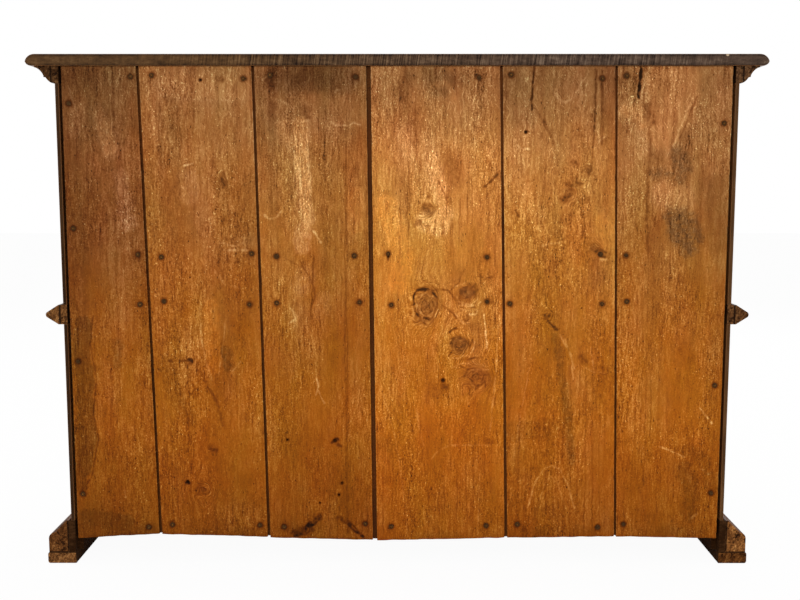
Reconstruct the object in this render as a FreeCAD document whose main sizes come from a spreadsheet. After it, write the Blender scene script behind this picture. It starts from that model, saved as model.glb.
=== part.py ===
import FreeCAD, Part
import math
import os
import re
import Sketcher

# A walnut credenza, in millimetres. The front faces -Y and the nailed back faces +Y. The origin lies on the
# floor under the middle of the top. Left and right are as seen from the front, and the right side is +X.
SIZES = {
    # carcass
    "case_width": 1450,
    "case_depth": 470,
    "case_height": 1081,
    "deck_thickness": 24,
    "floor_height": 74,
    "lower_clear": 470,
    "drawer_clear": 79,
    # top board and how far it reaches past the carcass
    "top_thickness": 24,
    "top_overhang": 54,
    "top_back_overhang": 4,
    "top_nose": 20,
    "top_under": 12,
    "top_tip": 9,
    # cornice moulding, from its foot up: flat ovolo, fillet, flat cove, fillet
    "cornice_toe": 1,
    "cornice_ovolo": 12,
    "cornice_step": 4,
    "cornice_fillet": 3,
    "cornice_cove": 17,
    "cornice_ease": 12,
    "cornice_lip": 2,
    # waist moulding, two sloping faces that meet in a rounded nose
    "waist_rise": 8,
    "waist_height": 42,
    "waist_reach": 32,
    "waist_nose": 7,
    "waist_nose_half": 5.4,
    "waist_toe": 5,
    # base moulding on its runner plate
    "runner_thickness": 25,
    "runner_reach": 48,
    "runner_ledge": 14,
    "runner_round": 5,
    "base_height": 97,
    "base_reach": 45,
    "base_face": 56,
    "base_round": 14,
    "base_lip": 5,
    "mitre_run": 20,
    # sides: rails stand proud of the panels, and both leave a lip beside the back boards
    "side_panel": 20,
    "rail_proud": 6,
    "panel_lip": 8,
    # corner posts and front framing
    "post_width": 85,
    "post_depth": 60,
    "rear_post": 40,
    "frame_thickness": 30,
    "centre_width": 90,
    "strip_inset": 15,
    "strip_bevel": 9,
    "strip_rise": 5,
    "stop_width": 10,
    "stop_clear": 0.3,
    "top_rail_height": 41,
    "waist_rail_height": 64,
    "sill_rise": 6,
    "back_rail_height": 45,
    "back_rail_thickness": 22,
    # back boards, half-lapped, numbered from the left as seen from behind
    "back_thickness": 18,
    "back_lap": 7,
    "lap_clear": 1,
    "back_edge_gap": 6,
    "back_head_gap": 1,
    # nails
    "nail_head": 5,
    "nail_crown": 2,
    "nail_rise": 1.8,
    "nail_shank": 2,
    "nail_point": 0.8,
    "nail_length": 38,
    "nail_wander": 4,
    # doors
    "door_gap": 2,
    "hinge_gap": 3,
    "door_thickness": 24,
    "door_stile": 72,
    "door_rail": 66,
    "groove_front": 9,
    "groove_depth": 8,
    "panel_tongue": 8,
    "panel_play": 1,
    "tongue_clear": 0.1,
    "field_rise": 6,
    "field_bevel": 36,
    "bead_width": 16,
    "bead_round": 10,
    "bead_rise": 4,
    # butt hinges
    "hinge_height": 60,
    "hinge_inset": 44,
    "leaf_thickness": 1.3,
    "leaf_depth": 20,
    "knuckle_radius": 4.5,
    "knuckle_gap": 0.3,
    "pin_radius": 2,
    "pin_clear": 0.05,
    "pin_head": 3,
    # drawers
    "drawer_gap": 1.5,
    "drawer_run_clear": 0.3,
    "drawer_front": 22,
    "drawer_bevel": 12,
    "drawer_field": 4,
    "drawer_length": 372,
    "drawer_wall": 12,
    "drawer_wall_drop": 6,
    "drawer_base": 8,
    "drawer_base_rise": 4,
    "guide_height": 22,
    "drawer_knob_inset": 150,
    # turned knobs
    "knob_rose": 13,
    "knob_rose_thickness": 2.5,
    "knob_neck": 5,
    "knob_neck_length": 7,
    "knob_ball": 11,
}

# Width of each back board at its head and at its foot, and the height of its two bottom corners.
BACK_BOARDS = (
    (160, 183.5, 57, 67),
    (242, 240, 66, 60),
    (242.5, 235, 58, 53),
    (279, 290.5, 52, 58),
    (241.5, 242, 58, 61),
    (244.5, 224.5, 61, 57),
)
SEAM_GAPS = (6, 6, 9.5, 6, 5)
for board, (head, foot, left_low, right_low) in enumerate(BACK_BOARDS, start=1):
    SIZES["board_%d_head" % board] = head
    SIZES["board_%d_foot" % board] = foot
    SIZES["board_%d_left_low" % board] = left_low
    SIZES["board_%d_right_low" % board] = right_low
for seam_count, gap in enumerate(SEAM_GAPS, start=1):
    SIZES["seam_%d_gap" % seam_count] = gap

# Planes and sizes that follow from the sizes above.
PLANES = {
    "half": "case_width / 2",
    "y_front": "(top_overhang - top_back_overhang - case_depth) / 2",
    "y_back": "y_front + case_depth",
    "y_boards": "y_back - back_thickness",
    "y_deck": "y_front + frame_thickness",
    "z_lower": "floor_height + deck_thickness",
    "z_waist": "z_lower + lower_clear",
    "z_drawer": "z_waist + deck_thickness",
    "z_deck": "z_drawer + drawer_clear",
    "z_upper": "z_deck + deck_thickness",
    "z_top": "case_height",
    "z_waist_top": "z_waist + waist_rise",
    "z_waist_low": "z_waist_top - waist_height",
    "top_crown": "top_thickness - top_tip",
    "top_nose_radius": "(top_nose ^ 2 + top_crown ^ 2) / (2 * top_crown)",
    "top_under_radius": "(top_under ^ 2 + top_tip ^ 2) / (2 * top_tip)",
    "cornice_height": "cornice_ovolo + cornice_cove + 2 * cornice_fillet",
    "cornice_reach": "cornice_toe + cornice_ovolo + cornice_step + cornice_cove + cornice_lip",
    "cornice_nose": "cornice_reach - cornice_lip",
    "waist_nose_middle": "waist_reach - waist_nose",
    "waist_nose_start": "waist_nose_middle + sqrt(waist_nose ^ 2 - waist_nose_half ^ 2)",
    "side_rail": "side_panel + rail_proud",
    "x_side": "half - side_rail",
    "x_panel": "half - rail_proud",
    "x_lip": "x_panel - panel_lip",
    "x_rear_post": "x_side - rear_post",
    "x_post": "half - post_width",
    "x_centre": "centre_width / 2",
    "back_span": "2 * (x_lip - back_edge_gap)",
    "z_board_head": "z_top - back_head_gap",
    "board_layer": "back_thickness / 2",
    "x_door_in": "x_centre + door_gap",
    "x_door_out": "x_post - hinge_gap",
    "door_width": "x_door_out - x_door_in",
    "panel_span": "door_width - 2 * door_stile",
    "groove_back": "groove_front + panel_tongue + 2 * tongue_clear",
    "panel_face": "groove_front + tongue_clear",
    "bead_crown": "bead_width - bead_round",
    "bead_foot": "panel_face + bead_rise - bead_round",
    "x_pin": "x_post - hinge_gap / 2",
    "y_pin": "y_front - knuckle_radius - knuckle_gap",
    "knuckle": "(hinge_height - 2 * knuckle_gap) / 3",
    "x_drawer_in": "x_centre + drawer_gap",
    "x_drawer_out": "x_post - drawer_gap",
    "knob_shank_end": "knob_rose_thickness + knob_neck_length",
    "knob_centre": "knob_shank_end + sqrt(knob_ball ^ 2 - knob_neck ^ 2)",
}

doc = FreeCAD.newDocument("credenza")
sheet = doc.addObject("Spreadsheet::Sheet", "Sizes")
for row, (name, value) in enumerate(SIZES.items(), start=1):
    sheet.set("A%d" % row, name)
    sheet.set("B%d" % row, str(value))
    sheet.setAlias("B%d" % row, name)
doc.recompute()


def formula(text):
    """Spell a formula in sheet cells: plane names are opened up and size names get the sheet's prefix."""
    def spell(match):
        word = match.group(0)
        if word in PLANES:
            return "(" + formula(PLANES[word]) + ")"
        return "Sizes." + word
    return re.sub(r"\b[a-z][a-z_0-9]*\b(?!\()", spell, text)


def number(text):
    """The present value of a formula."""
    return float(sheet.evalExpression(formula(text)))


def bind(item, **formulas):
    """Tie an object's properties to formulas."""
    for name, text in formulas.items():
        item.setExpression(name.replace("__", "."), formula(text))


def place(item, x, y, z):
    """Tie where an object stands to formulas."""
    bind(item, Placement__Base__x=x, Placement__Base__y=y, Placement__Base__z=z)


def block(label, x, y, z):
    """A plain sawn board between two planes on each axis."""
    item = doc.addObject("Part::Box", label)
    bind(item, Length="(%s) - (%s)" % (x[1], x[0]), Width="(%s) - (%s)" % (y[1], y[0]),
         Height="(%s) - (%s)" % (z[1], z[0]))
    place(item, x[0], y[0], z[0])
    return item


def rod(label, radius, x, y, z):
    """An upright round bar from z[0] to z[1]."""
    item = doc.addObject("Part::Cylinder", label)
    bind(item, Radius=radius, Height="(%s) - (%s)" % (z[1], z[0]))
    place(item, x, y, z[0])
    return item


def mirrored(label, source):
    """The left-hand twin of a right-hand piece."""
    item = doc.addObject("Part::Mirroring", label)
    item.Source = source
    item.Normal = FreeCAD.Vector(1, 0, 0)
    return item


def group(label, pieces):
    """Like pieces that share one node, each still a solid of its own."""
    item = doc.addObject("Part::Compound", label)
    item.Links = pieces
    return item


def pin_spot(sketch, edge, spot, corner):
    """Fix one corner of a profile by its two formulas."""
    for kind, text, axis in (("DistanceX", corner[0], -2), ("DistanceY", corner[1], -1)):
        if text == "0":
            sketch.addConstraint(Sketcher.Constraint("PointOnObject", edge, spot, axis))
        else:
            index = sketch.addConstraint(Sketcher.Constraint(kind, edge, spot, number(text)))
            sketch.setExpression("Constraints[%d]" % index, formula(text))


def draw(sketch, corners):
    """Close a profile through its corners. A corner given with a centre is reached by an arc about it."""
    spots = [FreeCAD.Vector(number(corner[0]), number(corner[1]), 0) for corner in corners]
    ends = []
    for edge, start in enumerate(spots):
        after = (edge + 1) % len(spots)
        end = spots[after]
        if len(corners[after]) == 2:
            sketch.addGeometry(Part.LineSegment(start, end))
            ends.append((1, 2))
            continue
        centre = FreeCAD.Vector(number(corners[after][2]), number(corners[after][3]), 0)
        turns_left = (start - centre).cross(end - centre).z > 0
        first, last = (start, end) if turns_left else (end, start)
        angles = [math.atan2(spot.y - centre.y, spot.x - centre.x) for spot in (first, last)]
        circle = Part.Circle(centre, FreeCAD.Vector(0, 0, 1), (start - centre).Length)
        sketch.addGeometry(Part.ArcOfCircle(circle, angles[0], angles[1]))
        ends.append((1, 2) if turns_left else (2, 1))
    for edge in range(len(spots)):
        after = (edge + 1) % len(spots)
        sketch.addConstraint(Sketcher.Constraint("Coincident", edge, ends[edge][1], after, ends[after][0]))
        pin_spot(sketch, edge, ends[edge][0], corners[edge])
        if len(corners[after]) == 4:
            chord = spots[after] - spots[edge]
            kind, text = ("DistanceX", corners[after][2])
            if abs(chord.y) < abs(chord.x) / 4:
                kind, text = ("DistanceY", corners[after][3])
            if text == "0":
                sketch.addConstraint(Sketcher.Constraint("PointOnObject", edge, 3, -2))
            else:
                index = sketch.addConstraint(Sketcher.Constraint(kind, edge, 3, number(text)))
                sketch.setExpression("Constraints[%d]" % index, formula(text))


def profile(body, plane, corners, offset="0"):
    """A profile on one of the body's own planes, shifted along the plane's normal."""
    sketch = body.newObject("Sketcher::SketchObject", body.Label + "_profile")
    support = [item for item in body.Origin.OriginFeatures if item.Role == plane][0]
    sketch.AttachmentSupport = [(support, "")]
    sketch.MapMode = "FlatFace"
    if offset != "0":
        bind(sketch, AttachmentOffset__Base__z=offset)
    draw(sketch, corners)
    return sketch


def pad(body, plane, corners, length, offset="0"):
    """Run a profile out along its plane's normal."""
    feature = body.newObject("PartDesign::Pad", body.Label + "_pad")
    feature.Profile = profile(body, plane, corners, offset)
    bind(feature, Length=length)
    return feature


def cut(body, plane, corners, length, offset="0", forward=False):
    """Cut a profile out of a body, and make sure that it took wood away."""
    doc.recompute()
    before = body.Shape.Volume
    feature = body.newObject("PartDesign::Pocket", body.Label + "_cut")
    feature.Profile = profile(body, plane, corners, offset)
    feature.Reversed = forward
    bind(feature, Length=length)
    doc.recompute()
    if not body.Shape.Volume < before - 1e-3:
        raise RuntimeError("nothing was cut from " + body.Label)
    return feature


def solid(label, x, y, z):
    """A new body standing at a point."""
    body = doc.addObject("PartDesign::Body", label)
    body.Label = label
    place(body, x, y, z)
    return body


def prism(label, plane, corners, length, x, y, z):
    """One profile run out straight."""
    body = solid(label, x, y, z)
    pad(body, plane, corners, length)
    return body


def rectangle(x, y):
    """Corners of a rectangle between two formulas on each axis."""
    return [(x[0], y[0]), (x[1], y[0]), (x[1], y[1]), (x[0], y[1])]


def field(body, plane, x, y, bevel, base, rise):
    """The raised middle of a panel: a bevel on all four sides up to a flat field."""
    loft = body.newObject("PartDesign::AdditiveLoft", body.Label + "_field")
    inner_x = ("(%s) + %s" % (x[0], bevel), "(%s) - %s" % (x[1], bevel))
    inner_y = ("(%s) + %s" % (y[0], bevel), "(%s) - %s" % (y[1], bevel))
    loft.Profile = profile(body, plane, rectangle(x, y), base)
    loft.Sections = [profile(body, plane, rectangle(inner_x, inner_y), "(%s) + (%s)" % (base, rise))]
    loft.Ruled = True
    return loft


parts = []


def keep(*items):
    """Hand pieces in as nodes of the part."""
    parts.extend(items)


# Top: one wide board, square at the back. The front and both ends are planed to a blunt nose, with a flat
# curve down from the top face and a shorter one up from below.
top = prism("top_board", "XY_Plane",
            rectangle(("-half - top_overhang", "half + top_overhang"),
                      ("y_front - top_overhang", "y_back + top_back_overhang")),
            "top_thickness", "0", "0", "z_top")


def plane_nose(plane, edge, inward, outward, start, length):
    """Plane one edge of the top to its nose."""
    crown, under, clear = edge + inward + "top_nose", edge + inward + "top_under", edge + outward + "mitre_run"
    cut(top, plane, [(crown, "top_thickness", crown, "top_thickness - top_nose_radius"),
                     (clear, "top_thickness"), (clear, "0"), (under, "0"),
                     (edge, "top_tip", under, "top_under_radius")], length, start, forward=True)


top_depth = "case_depth + top_overhang + top_back_overhang"
plane_nose("XZ_Plane", "half + top_overhang", " - ", " + ", "-(y_back + top_back_overhang)", top_depth)
plane_nose("XZ_Plane", "-half - top_overhang", " + ", " - ", "-(y_back + top_back_overhang)", top_depth)
plane_nose("YZ_Plane", "y_front - top_overhang", " + ", " - ", "-half - top_overhang",
           "case_width + 2 * top_overhang")
keep(top)


# Mouldings: each is planed as a straight run, nailed along the sides and across the front, and mitred at the
# two front corners. The rear ends are sawn square and show their profile.
def side_run(label, corners, reach, z):
    body = solid(label, "half", "y_back", z)
    pad(body, "XZ_Plane", corners, "case_depth + " + reach)
    end = "case_depth + %s + mitre_run" % reach
    triangle = [("-mitre_run", "mitre_run - case_depth"), ("%s + mitre_run" % reach, "-(%s)" % end),
                ("-mitre_run", "-(%s)" % end)]
    cut(body, "XY_Plane", triangle, "z_top", forward=True)
    return body


def front_run(label, corners, reach, z):
    body = solid(label, "-half - " + reach, "y_front", z)
    turned = [tuple("-(%s)" % text if place % 2 == 0 and text != "0" else text
                    for place, text in enumerate(corner)) for corner in corners]
    pad(body, "YZ_Plane", turned, "case_width + 2 * " + reach)
    span = "case_width + 2 * %s" % reach
    far = "%s + mitre_run" % reach
    left = [("-mitre_run", "-(%s)" % far), (far, "mitre_run"), ("-mitre_run", "mitre_run")]
    right = [("(%s) - (%s)" % (span, x), y) for x, y in left]
    cut(body, "XY_Plane", left, "z_top", forward=True)
    cut(body, "XY_Plane", right, "z_top", forward=True)
    return body


CORNICE = [
    ("0", "0"), ("cornice_toe", "0"),
    ("cornice_toe + cornice_ovolo", "cornice_ovolo", "cornice_toe - cornice_ease", "cornice_ovolo + cornice_ease"),
    ("cornice_toe + cornice_ovolo + cornice_step", "cornice_ovolo"),
    ("cornice_toe + cornice_ovolo + cornice_step", "cornice_ovolo + cornice_fillet"),
    ("cornice_nose", "cornice_height - cornice_fillet",
     "cornice_nose + cornice_ease", "cornice_ovolo + cornice_fillet - cornice_ease"),
    ("cornice_reach", "cornice_height - cornice_fillet"),
    ("cornice_reach", "cornice_height"), ("0", "cornice_height"),
]
WAIST = [
    ("0", "0"), ("waist_toe", "0"),
    ("waist_nose_start", "waist_height / 2 - waist_nose_half"),
    ("waist_nose_start", "waist_height / 2 + waist_nose_half", "waist_nose_middle", "waist_height / 2"),
    ("waist_toe", "waist_height"), ("0", "waist_height"),
]
BASE = [
    ("0", "0"), ("base_reach", "0"), ("base_reach", "base_face - runner_thickness"),
    ("base_reach - base_round", "base_face - runner_thickness + base_round",
     "base_reach - base_round", "base_face - runner_thickness"),
    ("base_lip", "base_height - runner_thickness"), ("0", "base_height - runner_thickness"),
]
RUNNER = [
    ("-runner_ledge", "0"), ("runner_reach - runner_round", "0"),
    ("runner_reach", "runner_round", "runner_reach - runner_round", "runner_round"),
    ("runner_reach", "runner_thickness - runner_round"),
    ("runner_reach - runner_round", "runner_thickness",
     "runner_reach - runner_round", "runner_thickness - runner_round"),
    ("-runner_ledge", "runner_thickness"),
]


def run_round(name, corners, reach, z):
    """The three mitred lengths of one moulding: front, left and right."""
    right = side_run(name + "_right", corners, reach, z)
    return [front_run(name + "_front", corners, reach, z), mirrored(name + "_left", right), right]


keep(group("cornice_mouldings", run_round("cornice", CORNICE, "cornice_reach", "z_top - cornice_height")))
keep(group("waist_mouldings", run_round("waist", WAIST, "waist_reach", "z_waist_low")))
keep(*run_round("base_moulding", BASE, "base_reach", "runner_thickness"))
keep(group("base_runners", run_round("runner", RUNNER, "runner_reach", "0")))


# Sides: three rails with a panel in each of the two fields between them. Every rear edge is rebated, so that
# only a thin lip shows beside the back boards.
def side_piece(label, x_outer, z_low, z_high):
    width = "(%s) - x_side" % x_outer
    length = "case_depth - post_depth"
    corners = [("0", "0"), (width, "0"), (width, length), ("x_lip - x_side", length),
               ("x_lip - x_side", "%s - back_thickness" % length), ("0", "%s - back_thickness" % length)]
    return prism(label, "XY_Plane", corners, "(%s) - (%s)" % (z_high, z_low),
                 "x_side", "y_front + post_depth", z_low)


right_rails = [side_piece("side_rail_%d" % count, "half", low, high) for count, (low, high) in enumerate((
    ("runner_thickness", "base_height"),
    ("z_waist_low", "z_waist_top"),
    ("z_top - cornice_height", "z_top")))]
right_panels = [side_piece("side_panel_%d" % count, "x_panel", low, high) for count, (low, high) in enumerate((
    ("base_height", "z_waist_low"),
    ("z_waist_top", "z_top - cornice_height")))]
rails_right = group("side_rails_right", right_rails)
panels_right = group("side_panels_right", right_panels)
keep(rails_right, mirrored("side_rails_left", rails_right))
keep(panels_right, mirrored("side_panels_left", panels_right))

# Posts: wide at the two front corners, where the doors hang, and square inside the two rear corners. A bevelled
# slip is glued on the face of each front post, one above the waist and one below.
def slip(label, x, z):
    body = solid(label, x[0], "y_front", z[0])
    field(body, "XZ_Plane", ("0", "(%s) - (%s)" % (x[1], x[0])), ("0", "(%s) - (%s)" % (z[1], z[0])),
          "strip_bevel", "0", "strip_rise")
    return body


post_face = ("x_post + strip_inset", "half - strip_inset")
front_post = group("front_post_right", [
    block("front_post_stick", ("x_post", "half"), ("y_front", "y_front + post_depth"), ("runner_thickness", "z_top")),
    slip("lower_post_slip", post_face, ("base_height + strip_inset", "z_waist_low - strip_inset")),
    slip("upper_post_slip", post_face, ("z_waist_top + strip_inset", "z_top - cornice_height - strip_inset")),
])
rear_post = block("rear_post_right", ("x_rear_post", "x_side"), ("y_boards - rear_post", "y_boards"),
                  ("floor_height", "z_top"))
keep(front_post, mirrored("front_post_left", front_post))
keep(group("rear_posts", [rear_post, mirrored("rear_post_left", rear_post)]))

# Front rails between the posts, and one rail along the head of the back.
FRONT_RAILS = (
    ("top_front_rail", "z_top - top_rail_height", "z_top"),
    ("drawer_front_rail", "z_deck", "z_upper"),
    ("waist_front_rail", "z_drawer - waist_rail_height", "z_drawer"),
    ("bottom_front_rail", "runner_thickness", "z_lower + sill_rise"),
)
for label, low, high in FRONT_RAILS:
    keep(block(label, ("-x_post", "x_post"), ("y_front", "y_deck"), (low, high)))
keep(block("back_top_rail", ("-x_rear_post", "x_rear_post"), ("y_boards - back_rail_thickness", "y_boards"),
           ("z_top - back_rail_height", "z_top")))


# Centre stiles, one above another, each with a bevelled slip. Beside a pair of doors the stile is rebated, and the
# doors close on it.
def centre_stile(label, low, high, stop):
    front = "door_thickness + stop_clear"
    wide = "x_centre + " + stop
    corners = [("-x_centre", "0"), ("x_centre", "0"), ("x_centre", front), (wide, front),
               (wide, "frame_thickness + stop_width"), ("-(%s)" % wide, "frame_thickness + stop_width"),
               ("-(%s)" % wide, front), ("-x_centre", front)]
    return prism(label, "XY_Plane", corners, "(%s) - (%s)" % (high, low), "0", "y_front", low)


STILES = (("lower_stile", "z_lower + sill_rise", "z_drawer - waist_rail_height"), ("drawer_stile", "z_drawer", "z_deck"),
          ("upper_stile", "z_upper", "z_top - top_rail_height"))
stiles = []
for label, low, high in STILES:
    if label == "drawer_stile":
        stiles.append(block(label, ("-x_centre", "x_centre"), ("y_front", "y_deck"), (low, high)))
    else:
        stiles.append(centre_stile(label, low, high, "stop_width"))
    stiles.append(slip(label + "_slip", ("strip_inset - x_centre", "x_centre - strip_inset"),
                       (low + " + strip_inset", high + " - strip_inset")))
keep(group("centre_stiles", stiles))

# Decks: the bottom board and the two decks above and below the drawers, cut round all four posts.
DECK = [("x_post", "y_deck"), ("x_post", "y_front + post_depth"), ("x_side", "y_front + post_depth"),
        ("x_side", "y_boards - rear_post"), ("x_rear_post", "y_boards - rear_post"), ("x_rear_post", "y_boards")]
deck_outline = DECK + [("-" + x, y) for x, y in reversed(DECK)]
for label, low in (("bottom_board", "floor_height"), ("waist_deck", "z_waist"), ("drawer_deck", "z_deck")):
    keep(prism(label, "XY_Plane", deck_outline, "deck_thickness", "0", "0", low))

# Strips on the waist deck that keep each drawer straight: a wide one in the middle and one at each end.
guide_end = "y_boards - rear_post"
outer_guide = block("guide_right", ("x_post", "x_rear_post"), ("y_front + post_depth", guide_end),
                    ("z_drawer", "z_drawer + guide_height"))
keep(group("drawer_guides", [
    outer_guide, mirrored("guide_left", outer_guide),
    block("guide_middle", ("-x_centre", "x_centre"), ("y_deck", guide_end),
          ("z_drawer", "z_drawer + guide_height"))]))


# Back: six tapering boards, sawn by hand, so heads, feet and seams all differ. Each carries a half lap, so the
# open seam shows the neighbour's tongue and no light comes through. Seen from behind, board 1 is on the left.
COUNT = len(BACK_BOARDS)


def seam(place, end):
    """How far along the back the middle of a seam lies at the boards' heads or feet."""
    if place == 0:
        return "0"
    if place == COUNT:
        return "back_span"
    widths = ["board_%d_%s" % (count, end) for count in range(1, COUNT + 1)]
    return "back_span * (%s) / (%s)" % (" + ".join(widths[:place]), " + ".join(widths))


def board_edge(place, end, shift, gap):
    """One side of a board: the seam, shifted for the lap and held back by half the gap."""
    if place in (0, COUNT):
        return seam(place, end)
    return "%s + %s + (%s) / 2" % (seam(place, end), shift, gap)


def board_outline(place, shift, lap_gap):
    gaps = [lap_gap or "seam_%d_gap" % max(place - 1, 1), lap_gap or "seam_%d_gap" % min(place, COUNT - 1)]
    left = {end: board_edge(place - 1, end, shift, gaps[0]) for end in ("head", "foot")}
    right = {end: board_edge(place, end, shift, "-" + gaps[1]) for end in ("head", "foot")}
    return [(left["foot"], "board_%d_left_low" % place), (right["foot"], "board_%d_right_low" % place),
            (right["head"], "z_board_head"), (left["head"], "z_board_head")]


def turned_solid(label):
    """A body at the left end of the back, seen from behind, with its profile plane facing backward."""
    body = doc.addObject("PartDesign::Body", label)
    body.Placement = FreeCAD.Placement(FreeCAD.Vector(), FreeCAD.Rotation(FreeCAD.Vector(0, 0, 1), 180))
    place(body, "x_lip - back_edge_gap", "y_boards", "0")
    return body


for count in range(1, COUNT + 1):
    board = turned_solid("back_board_%d" % count)
    pad(board, "XZ_Plane", board_outline(count, "back_lap", "lap_clear"), "board_layer")
    pad(board, "XZ_Plane", board_outline(count, "0", None), "board_layer", "board_layer")
    keep(board)


# Nails: forged, with a low faceted head and a tapering square shank, driven by hand through the boards into the
# decks, the top rail and the rear posts. Each row gives the inset from the board's left and right edge.
NAIL_ROWS = (
    ("z_top - back_rail_height / 2", ((None, 15), (29, 20), (36, 27), (None, 47), (20, 30), (21, None))),
    ("z_deck + deck_thickness / 2", ((None, 18.5), (31, 16), (37, 36), (37, 35), (None, 34), (21, None))),
    ("z_waist + deck_thickness / 2", ((None, 19.5), (32, 25), (34, 26), (42, 36), (13, 30), (23, None))),
    ("floor_height + deck_thickness / 2", ((None, 25.5), (27, 19.5), (34, 21), (36, 44), (25, 39), (18, None))),
)
# Nails down the two outer edges: the inset, and the share of the height from the bottom board to the top.
EDGE_NAILS = ((1, 14, (0.923, 0.662, 0.376, 0.083)), (COUNT, 15.5, (0.882, 0.324, 0.085)))


def nail_spots():
    """Where each nail enters the back: distance from its left end, seen from behind, and height."""
    spots = []
    head, low = number("z_board_head"), number("floor_height")
    for row, boards in NAIL_ROWS:
        for board, insets in enumerate(boards, start=1):
            for side, inset in enumerate(insets):
                if inset is None:
                    continue
                height = number(row) + number("nail_wander") * math.sin(2.4 * len(spots))
                drop = (head - height) / (head - low)
                place = board - 1 + side
                along = number(seam(place, "head")) * (1 - drop) + number(seam(place, "foot")) * drop
                spots.append((along + (inset if side == 0 else -inset), height))
    reach = number("z_top") - number("floor_height")
    for board, inset, shares in EDGE_NAILS:
        for share in shares:
            along = inset if board == 1 else number("back_span") - inset
            spots.append((along, low + share * reach))
    return spots


def ring(radius, sides, height, turn):
    """A flat polygon about the nail's axis."""
    corners = []
    for count in range(sides + 1):
        angle = turn + 2 * math.pi * count / sides
        corners.append(FreeCAD.Vector(radius * math.cos(angle), radius * math.sin(angle), height))
    return Part.makePolygon(corners)


def forged_nail(turn):
    head = Part.makeLoft([ring(number("nail_head"), 8, 0, turn),
                          ring(number("nail_crown"), 8, number("nail_rise"), turn)], True, True)
    shank = Part.makeLoft([ring(number("nail_shank"), 4, 0, turn),
                           ring(number("nail_point"), 4, -number("nail_length"), turn)], True, True)
    return head.fuse(shank)


nails = []
for count, (along, height) in enumerate(nail_spots()):
    nail = forged_nail(0.7 * count)
    spot = FreeCAD.Vector(number("x_lip - back_edge_gap") - along, number("y_back"), height)
    nail.Placement = FreeCAD.Placement(spot, FreeCAD.Rotation(FreeCAD.Vector(1, 0, 0), -90))
    nails.append(nail)
back_nails = doc.addObject("Part::Feature", "back_nails")
back_nails.Shape = Part.makeCompound(nails)
keep(back_nails)


# Knobs: turned in brass, a rose, a slim neck and a ball.
KNOB = [
    ("0", "0"), ("knob_rose", "0"), ("knob_rose", "knob_rose_thickness"),
    ("knob_neck", "knob_rose_thickness"), ("knob_neck", "knob_shank_end"),
    ("knob_ball", "knob_centre", "0", "knob_centre"), ("0", "knob_centre + knob_ball", "0", "knob_centre"),
]


def knob(label, x, y, z):
    body = doc.addObject("PartDesign::Body", label)
    body.Placement = FreeCAD.Placement(FreeCAD.Vector(), FreeCAD.Rotation(FreeCAD.Vector(1, 0, 0), 90))
    place(body, x, y, z)
    sketch = profile(body, "XZ_Plane", KNOB)
    turn = body.newObject("PartDesign::Revolution", label + "_turning")
    turn.Profile = sketch
    turn.ReferenceAxis = (sketch, ["V_Axis"])
    turn.Angle = 360
    return body


# Butt hinges: two knuckles on the frame's leaf, one on the door's, and a loose pin. Both leaves lie in the gap
# between door and post, so neither is let in.
def hinge(label, low):
    high = "%s + hinge_height" % low
    levels = [low, "%s + knuckle" % low, "%s + knuckle + knuckle_gap" % low,
              "%s - knuckle - knuckle_gap" % high, "%s - knuckle" % high, high]
    bore = rod(label + "_bore", "pin_radius + pin_clear", "x_pin", "y_pin", (low, high))
    leaf_back = "y_front + leaf_depth"
    leaf_edge = "y_front + knuckle_gap"
    leaves = {}
    for owner, x, bands in (("frame", ("x_post - leaf_thickness", "x_post"), (levels[0:2], levels[4:6])),
                            ("door", ("x_door_out", "x_door_out + leaf_thickness"), (levels[2:4],))):
        name = "%s_%s" % (label, owner)
        pieces = [block(name + "_leaf", x, (leaf_edge, leaf_back), (low, high))]
        for count, band in enumerate(bands):
            pieces.append(block("%s_web_%d" % (name, count), x, ("y_pin", leaf_back), band))
            pieces.append(rod("%s_knuckle_%d" % (name, count), "knuckle_radius", "x_pin", "y_pin", band))
        body = doc.addObject("Part::MultiFuse", name + "_body")
        body.Shapes = pieces
        leaf = doc.addObject("Part::Cut", name)
        leaf.Base = body
        leaf.Tool = bore
        leaves[owner] = leaf
    leaves["pin"] = rod(label + "_pin", "pin_radius", "x_pin", "y_pin",
                        ("%s - pin_head" % low, "%s + pin_head" % high))
    return leaves


# Doors: two stiles and two rails with stub tenons in one groove, a raised panel held in the groove, and a
# mitred bead that covers the panel's edge.
def door_frame(name, low, high):
    mid = ("groove_front", "groove_back")
    stile = [("0", "0"), ("door_stile", "0"), ("door_stile", mid[0]), ("door_stile - groove_depth", mid[0]),
             ("door_stile - groove_depth", mid[1]), ("door_stile", mid[1]), ("door_stile", "door_thickness"),
             ("0", "door_thickness")]
    turned = [("-(%s)" % x if x != "0" else x, y) for x, y in stile]
    height = "(%s) - (%s)" % (high, low)
    shut = prism(name + "_shutting_stile", "XY_Plane", stile, height, "x_door_in", "y_front", low)
    hang = prism(name + "_hanging_stile", "XY_Plane", turned, height, "x_door_out", "y_front", low)
    rail = [("0", "0"), ("0", "door_rail"), (mid[0], "door_rail"), (mid[0], "door_rail - groove_depth"),
            (mid[1], "door_rail - groove_depth"), (mid[1], "door_rail"), ("door_thickness", "door_rail"),
            ("door_thickness", "0")]
    tenon = rectangle(("panel_face", "panel_face + panel_tongue"), ("0", "door_rail - groove_depth"))
    rails = []
    for end, z, sign in (("bottom", low, ""), ("top", high, "-")):
        body = solid("%s_%s_rail" % (name, end), "x_door_in + door_stile", "y_front", z)
        for corners, run, start in ((rail, "panel_span", "0"),
                                    (tenon, "panel_span + 2 * groove_depth - 2 * tongue_clear",
                                     "tongue_clear - groove_depth")):
            shaped = [(y, sign + "(%s)" % z_text if z_text != "0" else z_text) for y, z_text in corners]
            pad(body, "YZ_Plane", shaped, run, start)
        rails.append(body)
    return [shut, hang] + rails


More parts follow.
